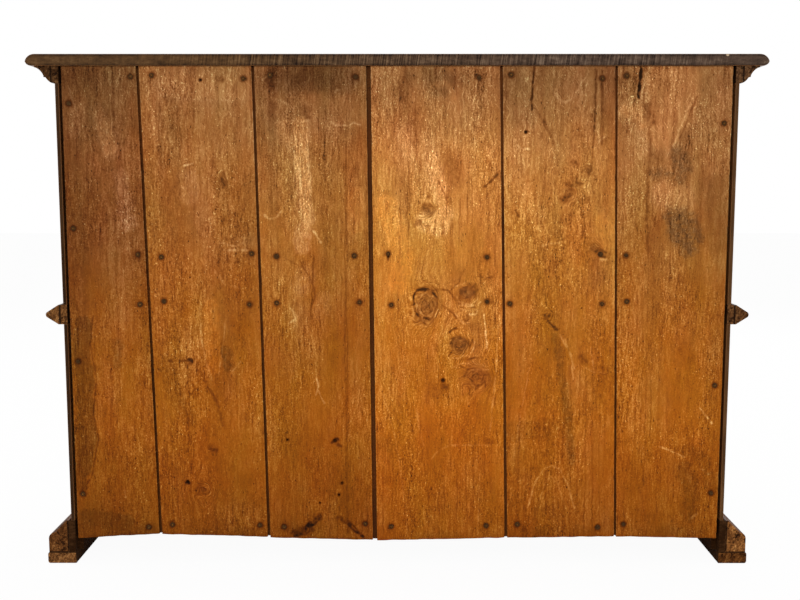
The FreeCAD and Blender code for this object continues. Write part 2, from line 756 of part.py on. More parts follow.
def door_panel(label, low, high):
    """The plate sits in the groove and the field rises toward the front."""
    body = solid(label, "x_door_in + door_stile", "y_front", "(%s) + door_rail" % low)
    height = "(%s) - (%s) - 2 * door_rail" % (high, low)
    edge = "groove_depth - panel_play"
    pad(body, "XZ_Plane", rectangle(("-(%s)" % edge, "panel_span + " + edge),
                                    ("-(%s)" % edge, "%s + %s" % (height, edge))),
        "panel_tongue", "-(panel_face + panel_tongue)")
    field(body, "XZ_Plane", ("bead_width", "panel_span - bead_width"), ("bead_width", height + " - bead_width"),
          "field_bevel", "-panel_face", "field_rise")
    return body


def panel_bead(name, low, high):
    """Four lengths of ovolo round the panel, mitred at the corners."""
    height = "(%s) - (%s) - 2 * door_rail" % (high, low)
    far = "bead_width + mitre_run"
    depth = "bead_rise + mitre_run"
    section = [("panel_face", "0"), ("panel_face", "bead_width"), ("bead_foot", "bead_width"),
               ("-bead_rise", "bead_crown", "bead_foot", "bead_crown"), ("-bead_rise", "0")]
    lying = solid(name + "_bead_lying", "x_door_in + door_stile", "y_front", "(%s) + door_rail" % low)
    pad(lying, "YZ_Plane", section, "panel_span")
    left = [("-mitre_run", "-mitre_run"), (far, far), ("-mitre_run", far)]
    right = [("panel_span - (%s)" % x, z) for x, z in left]
    standing = solid(name + "_bead_standing", "x_door_in + door_stile", "y_front", "(%s) + door_rail" % low)
    swapped = [tuple(corner[place ^ 1] for place in range(len(corner))) for corner in section]
    pad(standing, "XY_Plane", swapped, height)
    foot = [("-mitre_run", "-mitre_run"), (far, far), (far, "-mitre_run")]
    head = [(x, "%s - (%s)" % (height, z)) for x, z in foot]
    for body, ends in ((lying, (left, right)), (standing, (foot, head))):
        for corners in ends:
            cut(body, "XZ_Plane", corners, "2 * (%s)" % depth, depth)
    beads = [lying, standing]
    for body, axis, middle in ((lying, "z", "((%s) + (%s)) / 2" % (low, high)),
                               (standing, "x", "(x_door_in + x_door_out) / 2")):
        twin = doc.addObject("Part::Mirroring", body.Label + "_twin")
        twin.Source = body
        twin.Normal = FreeCAD.Vector(1, 0, 0) if axis == "x" else FreeCAD.Vector(0, 0, 1)
        twin.setExpression("Base." + axis, formula(middle))
        beads.append(twin)
    return beads


DOORS = (
    ("upper", "z_upper + door_gap", "z_top - top_rail_height - door_gap"),
    ("lower", "z_lower + sill_rise + door_gap", "z_drawer - waist_rail_height - door_gap"),
)
fixed_leaves = []
for tier, low, high in DOORS:
    name = tier + "_door"
    hinges = [hinge("%s_hinge_low" % name, "(%s) + hinge_inset" % low),
              hinge("%s_hinge_high" % name, "(%s) - hinge_inset - hinge_height" % high)]
    pieces = {
        "frame": group(name + "_frame_right", door_frame(name, low, high)),
        "panel": door_panel(name + "_panel_right", low, high),
        "bead": group(name + "_bead_right", panel_bead(name, low, high)),
        "knob": knob(name + "_knob_right", "x_door_in + door_stile / 2", "y_front", "((%s) + (%s)) / 2" % (low, high)),
        "hinge_leaves": group(name + "_hinge_leaves_right", [item["door"] for item in hinges]),
    }
    for kind, piece in pieces.items():
        keep(piece, mirrored("%s_%s_left" % (name, kind), piece))
    for item in hinges:
        fixed_leaves += [item["frame"], item["pin"]]
right_hinges = group("right_hinges", fixed_leaves)
keep(group("hinge_frame_leaves", [right_hinges, mirrored("left_hinges", right_hinges)]))


# Drawers: a bevelled front, two sides and a back, a bottom board let in above their lower edges, two knobs.
def drawer_front():
    body = solid("drawer_front_right", "x_drawer_in", "y_front", "z_drawer + drawer_gap")
    width = "x_drawer_out - x_drawer_in"
    height = "drawer_clear - 2 * drawer_gap"
    pad(body, "XZ_Plane", rectangle(("0", width), ("0", height)), "drawer_front - drawer_field", "-drawer_front")
    field(body, "XZ_Plane", ("0", width), ("0", height), "drawer_bevel", "-drawer_field", "drawer_field")
    return body


drawer_y = ("y_front + drawer_front", "y_front + drawer_front + drawer_length")
drawer_z = ("z_drawer + drawer_run_clear", "z_deck - drawer_wall_drop")
base_low = "z_drawer + drawer_run_clear + drawer_base_rise"
inner_x = ("x_drawer_in + drawer_wall", "x_drawer_out - drawer_wall")
drawer = {
    "front": drawer_front(),
    "box": group("drawer_box_right", [
        block("drawer_inner_side", ("x_drawer_in", inner_x[0]), drawer_y, drawer_z),
        block("drawer_outer_side", (inner_x[1], "x_drawer_out"), drawer_y, drawer_z),
        block("drawer_back", inner_x, (drawer_y[1] + " - drawer_wall", drawer_y[1]), drawer_z)]),
    "base": block("drawer_base_right", inner_x, (drawer_y[0], drawer_y[1] + " - drawer_wall"),
                  (base_low, base_low + " + drawer_base")),
    "knobs": group("drawer_knobs_right", [
        knob("drawer_knob_inner", "x_drawer_in + drawer_knob_inset", "y_front", "z_drawer + drawer_clear / 2"),
        knob("drawer_knob_outer", "x_drawer_out - drawer_knob_inset", "y_front", "z_drawer + drawer_clear / 2")]),
}
for kind, piece in drawer.items():
    keep(piece, mirrored("drawer_%s_left" % kind, piece))

# Every piece is proved before any is written.
doc.recompute()
for item in doc.Objects:
    if "Invalid" in item.State or "Error" in item.State:
        raise RuntimeError("%s failed: %s" % (item.Label, item.State))
for item in parts:
    if item.Shape.isNull() or not item.Shape.isValid() or not item.Shape.Solids:
        raise RuntimeError("bad shape: " + item.Label)
os.makedirs("parts", exist_ok=True)
for item in parts:
    item.Shape.exportStep("parts/%s.step" % item.Label)
print(len(parts), "nodes,", sum(len(item.Shape.Solids) for item in parts), "solids")
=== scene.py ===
import math
import random

import bmesh
import bpy
import numpy as np
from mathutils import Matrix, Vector, noise


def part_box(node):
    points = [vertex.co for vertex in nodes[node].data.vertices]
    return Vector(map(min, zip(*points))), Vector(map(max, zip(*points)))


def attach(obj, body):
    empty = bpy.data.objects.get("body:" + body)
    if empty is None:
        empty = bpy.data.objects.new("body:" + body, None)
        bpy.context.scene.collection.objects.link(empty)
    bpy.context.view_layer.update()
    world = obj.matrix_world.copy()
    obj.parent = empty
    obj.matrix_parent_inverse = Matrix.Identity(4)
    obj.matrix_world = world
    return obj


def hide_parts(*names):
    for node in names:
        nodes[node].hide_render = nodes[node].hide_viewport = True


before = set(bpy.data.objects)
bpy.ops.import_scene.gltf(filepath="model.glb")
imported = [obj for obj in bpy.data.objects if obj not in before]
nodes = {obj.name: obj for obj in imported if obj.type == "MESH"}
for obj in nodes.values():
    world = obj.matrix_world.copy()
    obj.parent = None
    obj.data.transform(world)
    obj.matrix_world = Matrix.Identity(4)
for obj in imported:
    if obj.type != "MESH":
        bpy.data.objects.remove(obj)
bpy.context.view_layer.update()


# Carcass: walnut posts, rails and stiles, planed by hand, joined and waxed brown. Each stick's grain runs along
# its own length, its ends show dark end grain, and every arris is a little rounded by use.
def node(tree, kind, inputs=(), **settings):
    """Add one node. An input is a plain value or the socket that feeds it."""
    item = tree.nodes.new("ShaderNode" + kind)
    for name, value in settings.items():
        setattr(item, name, value)
    for place, value in dict(inputs).items():
        if isinstance(value, bpy.types.NodeSocket):
            tree.links.new(value, item.inputs[place])
        else:
            item.inputs[place].default_value = value
    return item


def home(*values):
    """The node tree of the first socket among some values."""
    return next(value.id_data for value in values if isinstance(value, bpy.types.NodeSocket))


def sums(operation, first, second=0.0, third=0.0):
    values = (first, second, third)
    return node(home(*values), "Math", dict(enumerate(values)), operation=operation).outputs[0]


def times(first, second):
    return sums("MULTIPLY", first, second)


def less(first, second):
    return sums("SUBTRACT", first, second)


def apart(value, middle):
    """How far a value lies from a middle one."""
    return sums("ABSOLUTE", less(value, middle))


def plus(base, part, share):
    """A base with a share of another value added to it."""
    return sums("MULTIPLY_ADD", part, share, base)


def between(value, low, high, floor=0.0, ceiling=1.0):
    """Spread a value from low..high onto floor..ceiling and stop it there."""
    return node(home(value), "MapRange", {0: value, 1: low, 2: high, 3: floor, 4: ceiling}).outputs[0]


def mixed(share, first, second, way="MIX"):
    item = node(home(share, first), "Mix", {0: share, 6: first, 7: second}, data_type="RGBA", blend_type=way)
    return item.outputs[2]


def shades(value, stops):
    """A run of colours from dark to light."""
    item = node(home(value), "ValToRGB", {0: value})
    steps = item.color_ramp.elements
    while len(steps) < len(stops):
        steps.new(0.5)
    for step, (place, colour) in zip(steps, stops):
        step.position = place
        step.color = (*colour, 1.0)
    return item.outputs[0]


def mapped(vector, turn=(0, 0, 0), scale=(1, 1, 1), place=(0, 0, 0)):
    """Coordinates turned by degrees, stretched and moved."""
    angles = [math.radians(angle) for angle in turn]
    return node(home(vector), "Mapping", {0: vector, 1: place, 2: angles, 3: scale}).outputs[0]


def cloudy(vector, scale, detail=3.0, rough=0.6, place=(0, 0, 0)):
    """Noise stretched by scale along each axis."""
    spot = mapped(vector, scale=scale, place=place)
    inputs = {"Vector": spot, "Scale": 1.0, "Detail": detail, "Roughness": rough}
    return node(home(vector), "TexNoise", inputs).outputs[0]


def new_finish(name):
    finish = bpy.data.materials.new(name)
    finish.use_nodes = True
    return finish, finish.node_tree


def lay(finish, colour, rough, gloss, hills, strength, depth):
    """Lead a finish's colour, roughness, gloss and relief to its shader."""
    tree = finish.node_tree
    shader = tree.nodes["Principled BSDF"]
    tree.links.new(colour, shader.inputs["Base Color"])
    if isinstance(rough, bpy.types.NodeSocket):
        tree.links.new(rough, shader.inputs["Roughness"])
    else:
        shader.inputs["Roughness"].default_value = rough
    shader.inputs["Specular IOR Level"].default_value = gloss
    bump = node(tree, "Bump", {"Strength": strength, "Distance": depth, "Height": hills})
    tree.links.new(bump.outputs[0], shader.inputs["Normal"])
    return finish


def places(tree):
    """Object coordinates, in metres."""
    return node(tree, "TexCoord").outputs["Object"]


def turned(tree, along):
    """Object coordinates with the grain's direction as the third axis."""
    spot = node(tree, "SeparateXYZ", {0: places(tree)})
    order = {"X": (1, 2, 0), "Y": (2, 0, 1), "Z": (0, 1, 2)}[along]
    return node(tree, "CombineXYZ", {place: spot.outputs[axis] for place, axis in enumerate(order)}).outputs[0]


WALNUT = ((0.0, (0.014, 0.004, 0.0012)), (0.3, (0.062, 0.020, 0.005)), (0.55, (0.138, 0.049, 0.011)),
          (0.8, (0.235, 0.098, 0.026)), (1.0, (0.37, 0.18, 0.062)))


def walnut(name, along, heart=(0.0, 0.0, 0.0), depth=0.0, polish=0.42, veined=0.26):
    """Waxed walnut: slow cloudy figure, long dark streaks and short open pores, polished by hand."""
    finish, tree = new_finish(name)
    run = turned(tree, along)
    sway = cloudy(run, (2.2, 2.2, 0.7), 2.0, 0.5, heart)
    drift = node(tree, "CombineXYZ", {0: times(sway, 0.16), 1: times(sway, 0.11), 2: 0.0}).outputs[0]
    bend = node(tree, "VectorMath", {0: run, 1: drift}, operation="ADD").outputs[0]
    figure = cloudy(bend, (26.0, 26.0, 1.1), 4.0, 0.58, heart)
    veins = between(cloudy(bend, (64.0, 64.0, 1.5), 3.0, 0.55, heart), 0.54, 0.72)
    streak = cloudy(bend, (170.0, 170.0, 4.0), 3.0, 0.6, heart)
    pores = cloudy(run, (620.0, 620.0, 26.0), 2.0, 0.6, heart)
    tone = plus(0.055 + depth, figure, 0.85)
    tone = plus(tone, veins, -veined)
    tone = plus(less(tone, 0.12), streak, 0.30)
    tone = plus(tone, between(pores, 0.34, 0.46, 1.0, 0.0), -0.15)
    rough = between(streak, 0.3, 0.7, polish + 0.10, polish - 0.06)
    hills = plus(streak, between(pores, 0.34, 0.46), 0.5)
    return lay(finish, shades(tone, WALNUT), rough, 0.2, hills, 0.25, 0.0006)


SIDE_JOINT = 0.7268  # where the mouldings meet the sides
PLATE_JOINT = 0.0252  # where the base stands on its runner plate


def end_grain(name):
    """Sawn ends: open and torn by the saw, bruised pale in places, with near-black lines along the joints. Painted
    light and shade, set by side and height, make them lighter or darker, darker high up.
    """
    finish, tree = new_finish(name)
    spot = places(tree)
    across, _, up = node(tree, "SeparateXYZ", {0: spot}).outputs
    leaning = mapped(spot, turn=(0, 24, 0))
    strands = cloudy(leaning, (260.0, 90.0, 70.0), 3.0, 0.65)
    crumbs = cloudy(spot, (230.0, 230.0, 230.0), 3.0, 0.75)
    patches = cloudy(spot, (48.0, 48.0, 48.0), 4.0, 0.65)
    torn = between(cloudy(spot, (90.0, 90.0, 130.0), 4.0, 0.7), 0.56, 0.64)
    tone = plus(-1.08, strands, 1.10)
    tone = plus(tone, crumbs, 1.15)
    tone = plus(tone, patches, 0.90)
    tone = plus(tone, torn, -0.34)
    ends = ((0.0, (0.014, 0.005, 0.0015)), (0.3, (0.068, 0.025, 0.007)), (0.55, (0.150, 0.060, 0.017)),
            (0.78, (0.27, 0.125, 0.040)), (1.0, (0.50, 0.28, 0.115)))
    # Painted light and shade: each side of the case and each height gets its own lighter or darker multiplier.
    right = shades(up, ((0.024, (1.30, 1.25, 1.20)), (0.026, (0.85, 0.72, 0.58)), (0.2, (0.85, 0.72, 0.58)),
                              (0.4, (1.32, 1.3, 1.25)), (0.7, (1.32, 1.3, 1.25)), (0.95, (0.54, 0.54, 0.58))))
    left = shades(up, ((0.024, (0.85, 0.70, 0.48)), (0.026, (1.75, 1.65, 1.40)), (0.2, (1.75, 1.65, 1.40)),
                             (0.4, (0.90, 0.90, 0.95)), (0.7, (0.90, 0.90, 0.95)), (0.95, (0.85, 0.95, 1.25))))
    painted_side_light = mixed(between(across, -0.1, 0.1), left, right)
    colour = mixed(1.0, shades(tone, ends), painted_side_light, "MULTIPLY")
    beside = apart(sums("ABSOLUTE", across), SIDE_JOINT)
    beside = sums("ADD", beside, between(up, PLATE_JOINT + 0.0028, PLATE_JOINT - 0.0012))
    plate = apart(up, PLATE_JOINT)
    open_joint = plus(sums("MINIMUM", beside, plate), crumbs, -0.002)
    joint = between(open_joint, 0.0002, 0.0016, 0.9, 0.0)
    colour = mixed(joint, colour, (0.010, 0.004, 0.0015, 1.0))
    hills = plus(less(crumbs, torn), patches, 1.5)
    return lay(finish, colour, 0.85, 0.05, hills, 0.9, 0.0022)


def raw_wood_with_painted_shade(name):
    """Faces that were never finished, seen only from inside or below: dry and dusty, and dark with painted shade.
    """
    finish, tree = new_finish(name)
    spot = places(tree)
    saw = cloudy(spot, (90.0, 90.0, 240.0), 3.0, 0.6)
    patches = cloudy(spot, (14.0, 14.0, 14.0), 4.0, 0.6)
    tone = plus(times(patches, 0.5), saw, 0.5)
    # Kept darker than bare wood: painted shade on faces turned inward or lying below.
    bare = ((0.25, (0.010, 0.0035, 0.001)), (0.5, (0.030, 0.011, 0.003)), (0.75, (0.085, 0.036, 0.012)))
    return lay(finish, shades(tone, bare), 0.95, 0.04, saw, 0.6, 0.0012)


raw_faces_with_painted_shade = raw_wood_with_painted_shade("unfinished_wood_with_painted_shade")
walnut_ends = end_grain("walnut_end_grain")
upright = walnut("walnut_upright", "Z", (0.31, 0.12, 0.4))
crosswise = walnut("walnut_crosswise", "X", (0.16, 0.27, 0.2))
lengthwise = walnut("walnut_front_to_back", "Y", (0.22, 0.09, 0.7))
rubbed_edges = walnut("walnut_rubbed_edges", "Z", (0.5, 0.3, 0.2), 0.16, 0.34)
AXES = {"X": 0, "Y": 1, "Z": 2}
ARRIS = 0.0009  # how far an edge is eased
SHARP = math.radians(35)  # edges sharper than this are eased
SAME_POINT = 0.00002
SQUARE = 0.9  # a face looks along an axis when its normal lies this far along it


def dress(name, slot, coats, choose=lambda face: 0):
    """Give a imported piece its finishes, one for each face, and ease its sharp edges."""
    piece = nodes[name]
    piece.data.materials.clear()
    for coat in coats:
        piece.data.materials.append(coat)
    for face in piece.data.polygons:
        face.material_index = choose(face)
    weld = piece.modifiers.new("weld", "WELD")
    weld.merge_threshold = SAME_POINT
    ease = piece.modifiers.new("eased_edges", "BEVEL")
    ease.width = ARRIS
    ease.segments = 2
    ease.limit_method = "ANGLE"
    ease.angle_limit = SHARP
    ease.use_clamp_overlap = True
    if slot == "walnut":
        piece.data.materials.append(rubbed_edges)
        ease.material = len(coats)
    return piece


def stick(name, along, coat, slot="walnut"):
    """A piece whose grain runs one way: its two ends get end grain."""
    axis = AXES[along]
    return dress(name, slot, [coat, walnut_ends], lambda face: int(abs(face.normal[axis]) > SQUARE))


for name in ("front_post_left", "front_post_right", "centre_stiles"):
    stick(name, "Z", upright)
for name in ("top_front_rail", "drawer_front_rail", "waist_front_rail", "bottom_front_rail"):
    stick(name, "X", crosswise)


# Sides: a framed end on each side, three rails over two flat panels. Only their rear edges show from behind,
# grey-brown with dust, one side lighter and the other darker by painted light and shade.
def dusty(name, along):
    """A planed edge that was never waxed and has darkened, with painted light on one side and painted shade on the
    other.
    """
    finish, tree = new_finish(name)
    run = turned(tree, along)
    streak = cloudy(run, (160.0, 160.0, 5.0), 4.0, 0.65)
    patches = cloudy(run, (30.0, 30.0, 9.0), 3.0, 0.6)
    tone = plus(times(streak, 0.45), patches, 0.6)
    dust = ((0.2, (0.014, 0.006, 0.002)), (0.5, (0.058, 0.027, 0.010)), (0.75, (0.125, 0.062, 0.025)))
    across = node(tree, "SeparateXYZ", {0: places(tree)}).outputs[0]
    # Painted light and shade: the edges at -x lighter, those at +x darker.
    side_light_and_shade = shades(between(across, -0.1, 0.1), ((0.0, (1.3, 1.22, 1.1)), (1.0, (0.55, 0.50, 0.46))))
    colour = mixed(1.0, shades(tone, dust), side_light_and_shade, "MULTIPLY")
    return lay(finish, colour, 0.9, 0.06, streak, 0.5, 0.001)


dusty_upright = dusty("dusty_rear_edge", "Z")


LOWEST_RAIL = 0.3  # below this a side rail is the lowest one


def rail_coat(face):
    """Waxed outside, raw inside, the raw faces darkened by painted shade. The lowest rail's end is as dark as the
    raw faces, painted shade included, the others less.
    """
    if face.normal.y > SQUARE:
        return 2 if face.center.z < LOWEST_RAIL else 1
    return 2 if face.normal.x * face.center.x < 0 or abs(face.normal.z) > SQUARE else 0


for side in ("left", "right"):
    dress("side_panels_" + side, "walnut", [upright, walnut_ends, dusty_upright],
          lambda face: 2 if face.normal.y > SQUARE else int(abs(face.normal.z) > SQUARE))
    rails = dress("side_rails_" + side, "walnut", [lengthwise, walnut_ends, raw_faces_with_painted_shade], rail_coat)
    rails.modifiers["eased_edges"].material = -1  # hidden edges, never rubbed


# Inside: rear posts, decks, drawer guides and the rail behind the top are plain sawn poplar, never polished and
# dull with dust.
def inner_wood(name, along):
    finish, tree = new_finish(name)
    run = turned(tree, along)
    bands = cloudy(run, (28.0, 28.0, 0.9), 3.0, 0.55)
    fine = cloudy(run, (300.0, 300.0, 9.0), 3.0, 0.65)
    tone = plus(times(fine, 0.35), bands, 0.75)
    poplar = ((0.25, (0.10, 0.052, 0.022)), (0.5, (0.22, 0.125, 0.056)), (0.8, (0.34, 0.21, 0.105)))
    return lay(finish, shades(tone, poplar), 0.78, 0.25, fine, 0.35, 0.0008)


inner_upright = inner_wood("poplar_upright", "Z")
inner_crosswise = inner_wood("poplar_crosswise", "X")
inner_lengthwise = inner_wood("poplar_front_to_back", "Y")
stick("rear_posts", "Z", inner_upright, "inner_wood")
for name in ("bottom_board", "waist_deck", "drawer_deck", "back_top_rail"):
    stick(name, "X", inner_crosswise, "inner_wood")
stick("drawer_guides", "Y", inner_lengthwise, "inner_wood")


# Base: a heavy moulding planed in three runs and mitred at the front corners, standing on a flat runner plate.
# Behind, the runs are sawn off square and their ends are bruised and crumbling.
CASE_HALF, CASE_FRONT = 0.725, -0.210  # the case's side and front, where the runs are mitred
REAR, FLOOR_LEVEL = 0.2, 0.01  # faces behind the first are sawn ends, faces below the second stand on the floor


def round_the_case(face):
    """Side runs lie along the depth and the front run along the width, parted at the mitre."""
    middle = face.center
    beside = abs(middle.x) - CASE_HALF > CASE_FRONT - middle.y
    if face.normal.y > SQUARE and middle.y > REAR:
        return 2
    inward = face.normal.x * middle.x < 0 if beside else face.normal.y > 0.5
    if (inward and abs(face.normal.z) < 0.5) or (face.normal.z < -SQUARE and middle.z < FLOOR_LEVEL):
        return 3
    return 0 if beside else 1


for name in ("base_moulding_front", "base_moulding_left", "base_moulding_right", "base_runners",
             "waist_mouldings", "cornice_mouldings"):
    dress(name, "walnut", [lengthwise, crosswise, walnut_ends, raw_faces_with_painted_shade], round_the_case)


# Back: six wide planks, tapering a little from edge to edge, planed by hand, half-lapped and nailed. They have
# aged orange-brown, greyer towards the top, with knots, splits, rubbed patches and damp stains. Painted shade
# darkens the seams between them, their holes and splits, and the side at +x.
ORANGE = ((0.0, (0.02122, 0.006995, 0.002428)), (0.25, (0.1946, 0.0470, 0.0035)), (0.5, (0.3515, 0.0995, 0.0063)),
          (0.75, (0.5395, 0.1981, 0.03434)), (1.0, (0.8714, 0.4564, 0.1413)))
TAN = ((0.0, (0.02732, 0.01096, 0.004391)), (0.25, (0.1878, 0.05951, 0.01764)), (0.5, (0.3419, 0.1384, 0.05127)),
       (0.75, (0.5395, 0.2623, 0.1221)), (1.0, (0.8879, 0.6105, 0.314)))
SOOTY = ((0.1, (0.02122, 0.009134, 0.003677)), (0.5, (0.150, 0.060, 0.0195)), (0.9, (0.3515, 0.172, 0.068)))
RED_TO_GOLD = ((0.0, (1.0, 0.90, 0.74)), (1.0, (0.97, 1.10, 0.90)))


def back_planks():
    """Orange-brown plank finish: grain that bends round the knots, greyed film, scuffs, damp stains and soot, with
    painted shade in the seams, holes and splits and along the side at +x.
    """
    finish, tree = new_finish("back_planks")
    run = node(tree, "Attribute", attribute_name="grain_run").outputs["Vector"]
    marks = node(tree, "Attribute", attribute_name="weather_and_shade")
    weather_and_shade = node(tree, "SeparateColor", {0: marks.outputs["Color"]})
    scuff, stain, greyed, soot = (*weather_and_shade.outputs[:3], marks.outputs["Alpha"])
    tone = node(tree, "Attribute", attribute_name="tone").outputs["Vector"]
    bands = cloudy(run, (30.0, 1.1, 1.0), 4.0, 0.6)
    fibre = cloudy(run, (270.0, 34.0, 1.0), 3.0, 0.75)
    grit = cloudy(run, (350.0, 270.0, 1.0), 1.0, 0.6)
    blots = cloudy(run, (16.0, 7.0, 1.0), 6.0, 0.62)
    pores = between(cloudy(run, (330.0, 120.0, 1.0), 1.0, 0.5, (3.0, 1.0, 0.0)), 0.30, 0.24)
    chips = between(cloudy(run, (330.0, 270.0, 1.0), 1.0, 0.5, (1.0, 2.0, 0.0)), 0.69, 0.75)
    smear = between(cloudy(run, (7.0, 3.2, 1.0), 6.0, 0.6, (5.0, 1.0, 0.0)), 0.49, 0.53)
    slow = mapped(run, scale=(1.0, 0.05, 1.0))
    waves = {"Vector": slow, "Scale": 20.0, "Distortion": 12.0, "Detail": 2.5, "Detail Scale": 0.7}
    rings = node(tree, "TexWave", waves, bands_direction="X").outputs["Fac"]
    rings = times(between(rings, 0.70, 1.0), between(blots, 0.46, 0.62))
    crossed = mapped(run, turn=(0, 0, 32))
    slanted = mapped(run, turn=(0, 0, -17))
    hairs = sums("MAXIMUM", cloudy(crossed, (430.0, 40.0, 1.0), 2.0, 0.5),
                 cloudy(slanted, (430.0, 30.0, 1.0), 2.0, 0.5))
    film = plus(less(greyed, 0.35), blots, 0.7)
    film = between(film, 0.0, 1.0)
    ragged = plus(plus(-1.15, fibre, 1.0), blots, 1.3)
    value = plus(0.35, bands, 0.30)
    coarse = between(cloudy(run, (11.0, 5.0, 1.0), 5.0, 0.62, (8.0, 3.0, 0.0)), 0.38, 0.62, 0.40, 1.35)
    coarse = plus(coarse, soot, 0.5)
    fine = plus(plus(-0.79, grit, 0.58), fibre, 1.0)
    value = plus(value, fine, coarse)
    value = plus(less(value, 0.16), blots, 0.32)
    value = plus(plus(value, rings, -0.12), smear, -0.05)
    value = plus(value, pores, -0.34)
    streaks = between(cloudy(run, (95.0, 7.0, 1.0), 3.0, 0.6, (4.0, 9.0, 0.0)), 0.47, 0.32)
    value = plus(value, times(streaks, film), -0.18)
    chips = times(chips, between(coarse, 0.35, 1.2, 0.35, 1.0))
    value = plus(value, chips, between(film, 0.2, 1.0, 0.44, 0.56))
    fluff = times(between(hairs, 0.61, 0.72), between(film, 0.5, 1.0, 0.03, 0.25))
    value = sums("ADD", value, fluff)
    bright = times(scuff, between(sums("ADD", grit, ragged), 0.30, 0.75, 0.45, 0.95))
    value = plus(value, less(1.0, value), bright)
    # Stains darken the colour, and with them the painted shade in the seams, holes and splits.
    stain_and_painted_shade = times(stain, between(ragged, -0.3, 0.3, 0.7, 1.05))
    value = times(value, plus(1.0, stain_and_painted_shade, -0.95))
    pale = plus(times(film, 0.95), scuff, 0.4)
    colour = mixed(between(pale, 0.0, 1.0), shades(value, ORANGE), shades(value, TAN))
    hue = between(cloudy(run, (15.0, 5.0, 1.0), 5.0, 0.65, (2.0, 7.0, 0.0)), 0.3, 0.7)
    colour = mixed(1.0, colour, shades(hue, RED_TO_GOLD), "MULTIPLY")
    black = between(plus(soot, ragged, 0.35), 0.05, 0.80, 0.0, 0.75)
    black = times(black, between(soot, 0.02, 0.3))
    colour = mixed(black, colour, shades(value, SOOTY))
    colour = node(tree, "VectorMath", {0: colour, 1: tone}, operation="MULTIPLY").outputs[0]
    hills = plus(plus(fibre, grit, 0.4), blots, 0.9)
    return lay(finish, colour, between(film, 0.0, 1.0, 0.58, 0.78), 0.05, hills, 0.30, 0.0010)


plank_finish = back_planks()


CROWN_LEVEL, CROWN_SPAN = 0.2612, 0.012  # a nail's crown lies behind the first and is no wider than the second


def nail_heads():
    """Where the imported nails' crowns stand."""
    high = [v.co for v in nodes["back_nails"].data.vertices if v.co.y > CROWN_LEVEL]
    crowns = []
    for spot in high:
        if all((spot - other).length > CROWN_SPAN for other in crowns):
            crowns.append(spot.copy())
    for count, first in enumerate(crowns):
        ring = [spot for spot in high if (spot - first).length < CROWN_SPAN]
        crowns[count] = sum(ring, Vector()) / len(ring)
    return crowns


nail_spots = nail_heads()

# Marks on the back, in millimetres across (+x) and up (z).
# Knots: middle, half width, half height, lean in degrees, darkness of rim and of heart.
KNOTS = (
    (-64, 574, 26, 38, 12, 0.10, 0.38), (-150, 602, 15, 11, 20, 0.15, 0.45), (-134, 489, 18, 17, 0, 0.15, 0.55),
    (-172, 418, 24, 20, 30, 0.05, 0.12), (-64, 775, 12, 10, 0, 0.20, 0.35), (-377, 881, 7, 7, 0, 0.0, 0.3),
    (-405, 864, 8, 10, 20, 0.0, 0.3), (-366, 814, 13, 8, 35, 0.0, 0.25), (-325, 552, 10, 8, -30, 0.0, 0.2),
    (447, 452, 7, 6, 0, 0.1, 0.5), (402, 260, 8, 8, 0, 0.1, 0.35), (425, 166, 16, 13, 0, 0.05, 0.2),
    (367, 843, 5, 18, -15, 0.0, 0.2), (-421, 700, 13, 8, 0, 0.1, 0.4),
)
# Holes: middle and half width.
HOLES = ((-99.5, 411, 4.5), (460, 185, 3.6), (136, 277, 4.2), (121, 182, 2.8), (128, 155, 2.6), (240, 279, 2.6),
         (-272, 944, 3.4), (19, 681, 3.0), (170, 137, 2.2), (413, 1052, 3.2))
# Splits: half width, depth, darkness, and the points they run through.
SPLITS = (
    (1.2, 1.2, 0.35, ((105, 1010), (109, 900), (107, 801), (112, 690), (110, 587), (107, 470), (109, 368),
     (108, 98))),
    (1.4, 1.6, 0.5, ((178, 694), (181, 640), (183, 587), (190, 533))),
    (1.5, 3.0, 0.7, ((-287, 1079), (-284, 1031), (-280, 1002))),
    (1.3, 1.8, 0.4, ((-417, 1076), (-417, 989), (-415, 891))),
    (1.3, 1.8, 0.4, ((-432, 1060), (-431, 990), (-430, 925))),
    (2.2, 3.4, 0.8, ((-511, 1079), (-509, 1040), (-508, 1010))),
    (1.2, 1.6, 0.5, ((-208, 857), (-198, 842), (-188, 830))),
    (2.0, 2.6, 0.7, ((111, 98), (96, 84), (76, 62))),
)
# Softly rubbed and softly darkened places: middle, half width, half height, strength.
RUBBED = (
    (640, 960, 40, 60, 0.30), (205, 880, 30, 160, 0.30), (240, 960, 50, 60, 0.45), (130, 960, 40, 40, 0.40),
    (-66, 850, 34, 100, 0.35), (-20, 930, 20, 110, 0.25), (460, 1040, 60, 30, 0.45), (380, 1050, 60, 34, 0.40),
    (-560, 1000, 60, 70, 0.40), (-640, 1010, 50, 60, 0.40), (-600, 880, 60, 90, 0.35), (420, 760, 30, 60, 0.30),
    (-430, 640, 24, 50, 0.35), (-345, 905, 40, 30, 0.30), (320, 712, 30, 18, 0.40), (210, 560, 22, 40, 0.35),
    (-150, 560, 40, 60, 0.30), (-175, 480, 20, 60, 0.30), (600, 880, 40, 130, 0.25), (-460, 100, 12, 30, 0.30),
)
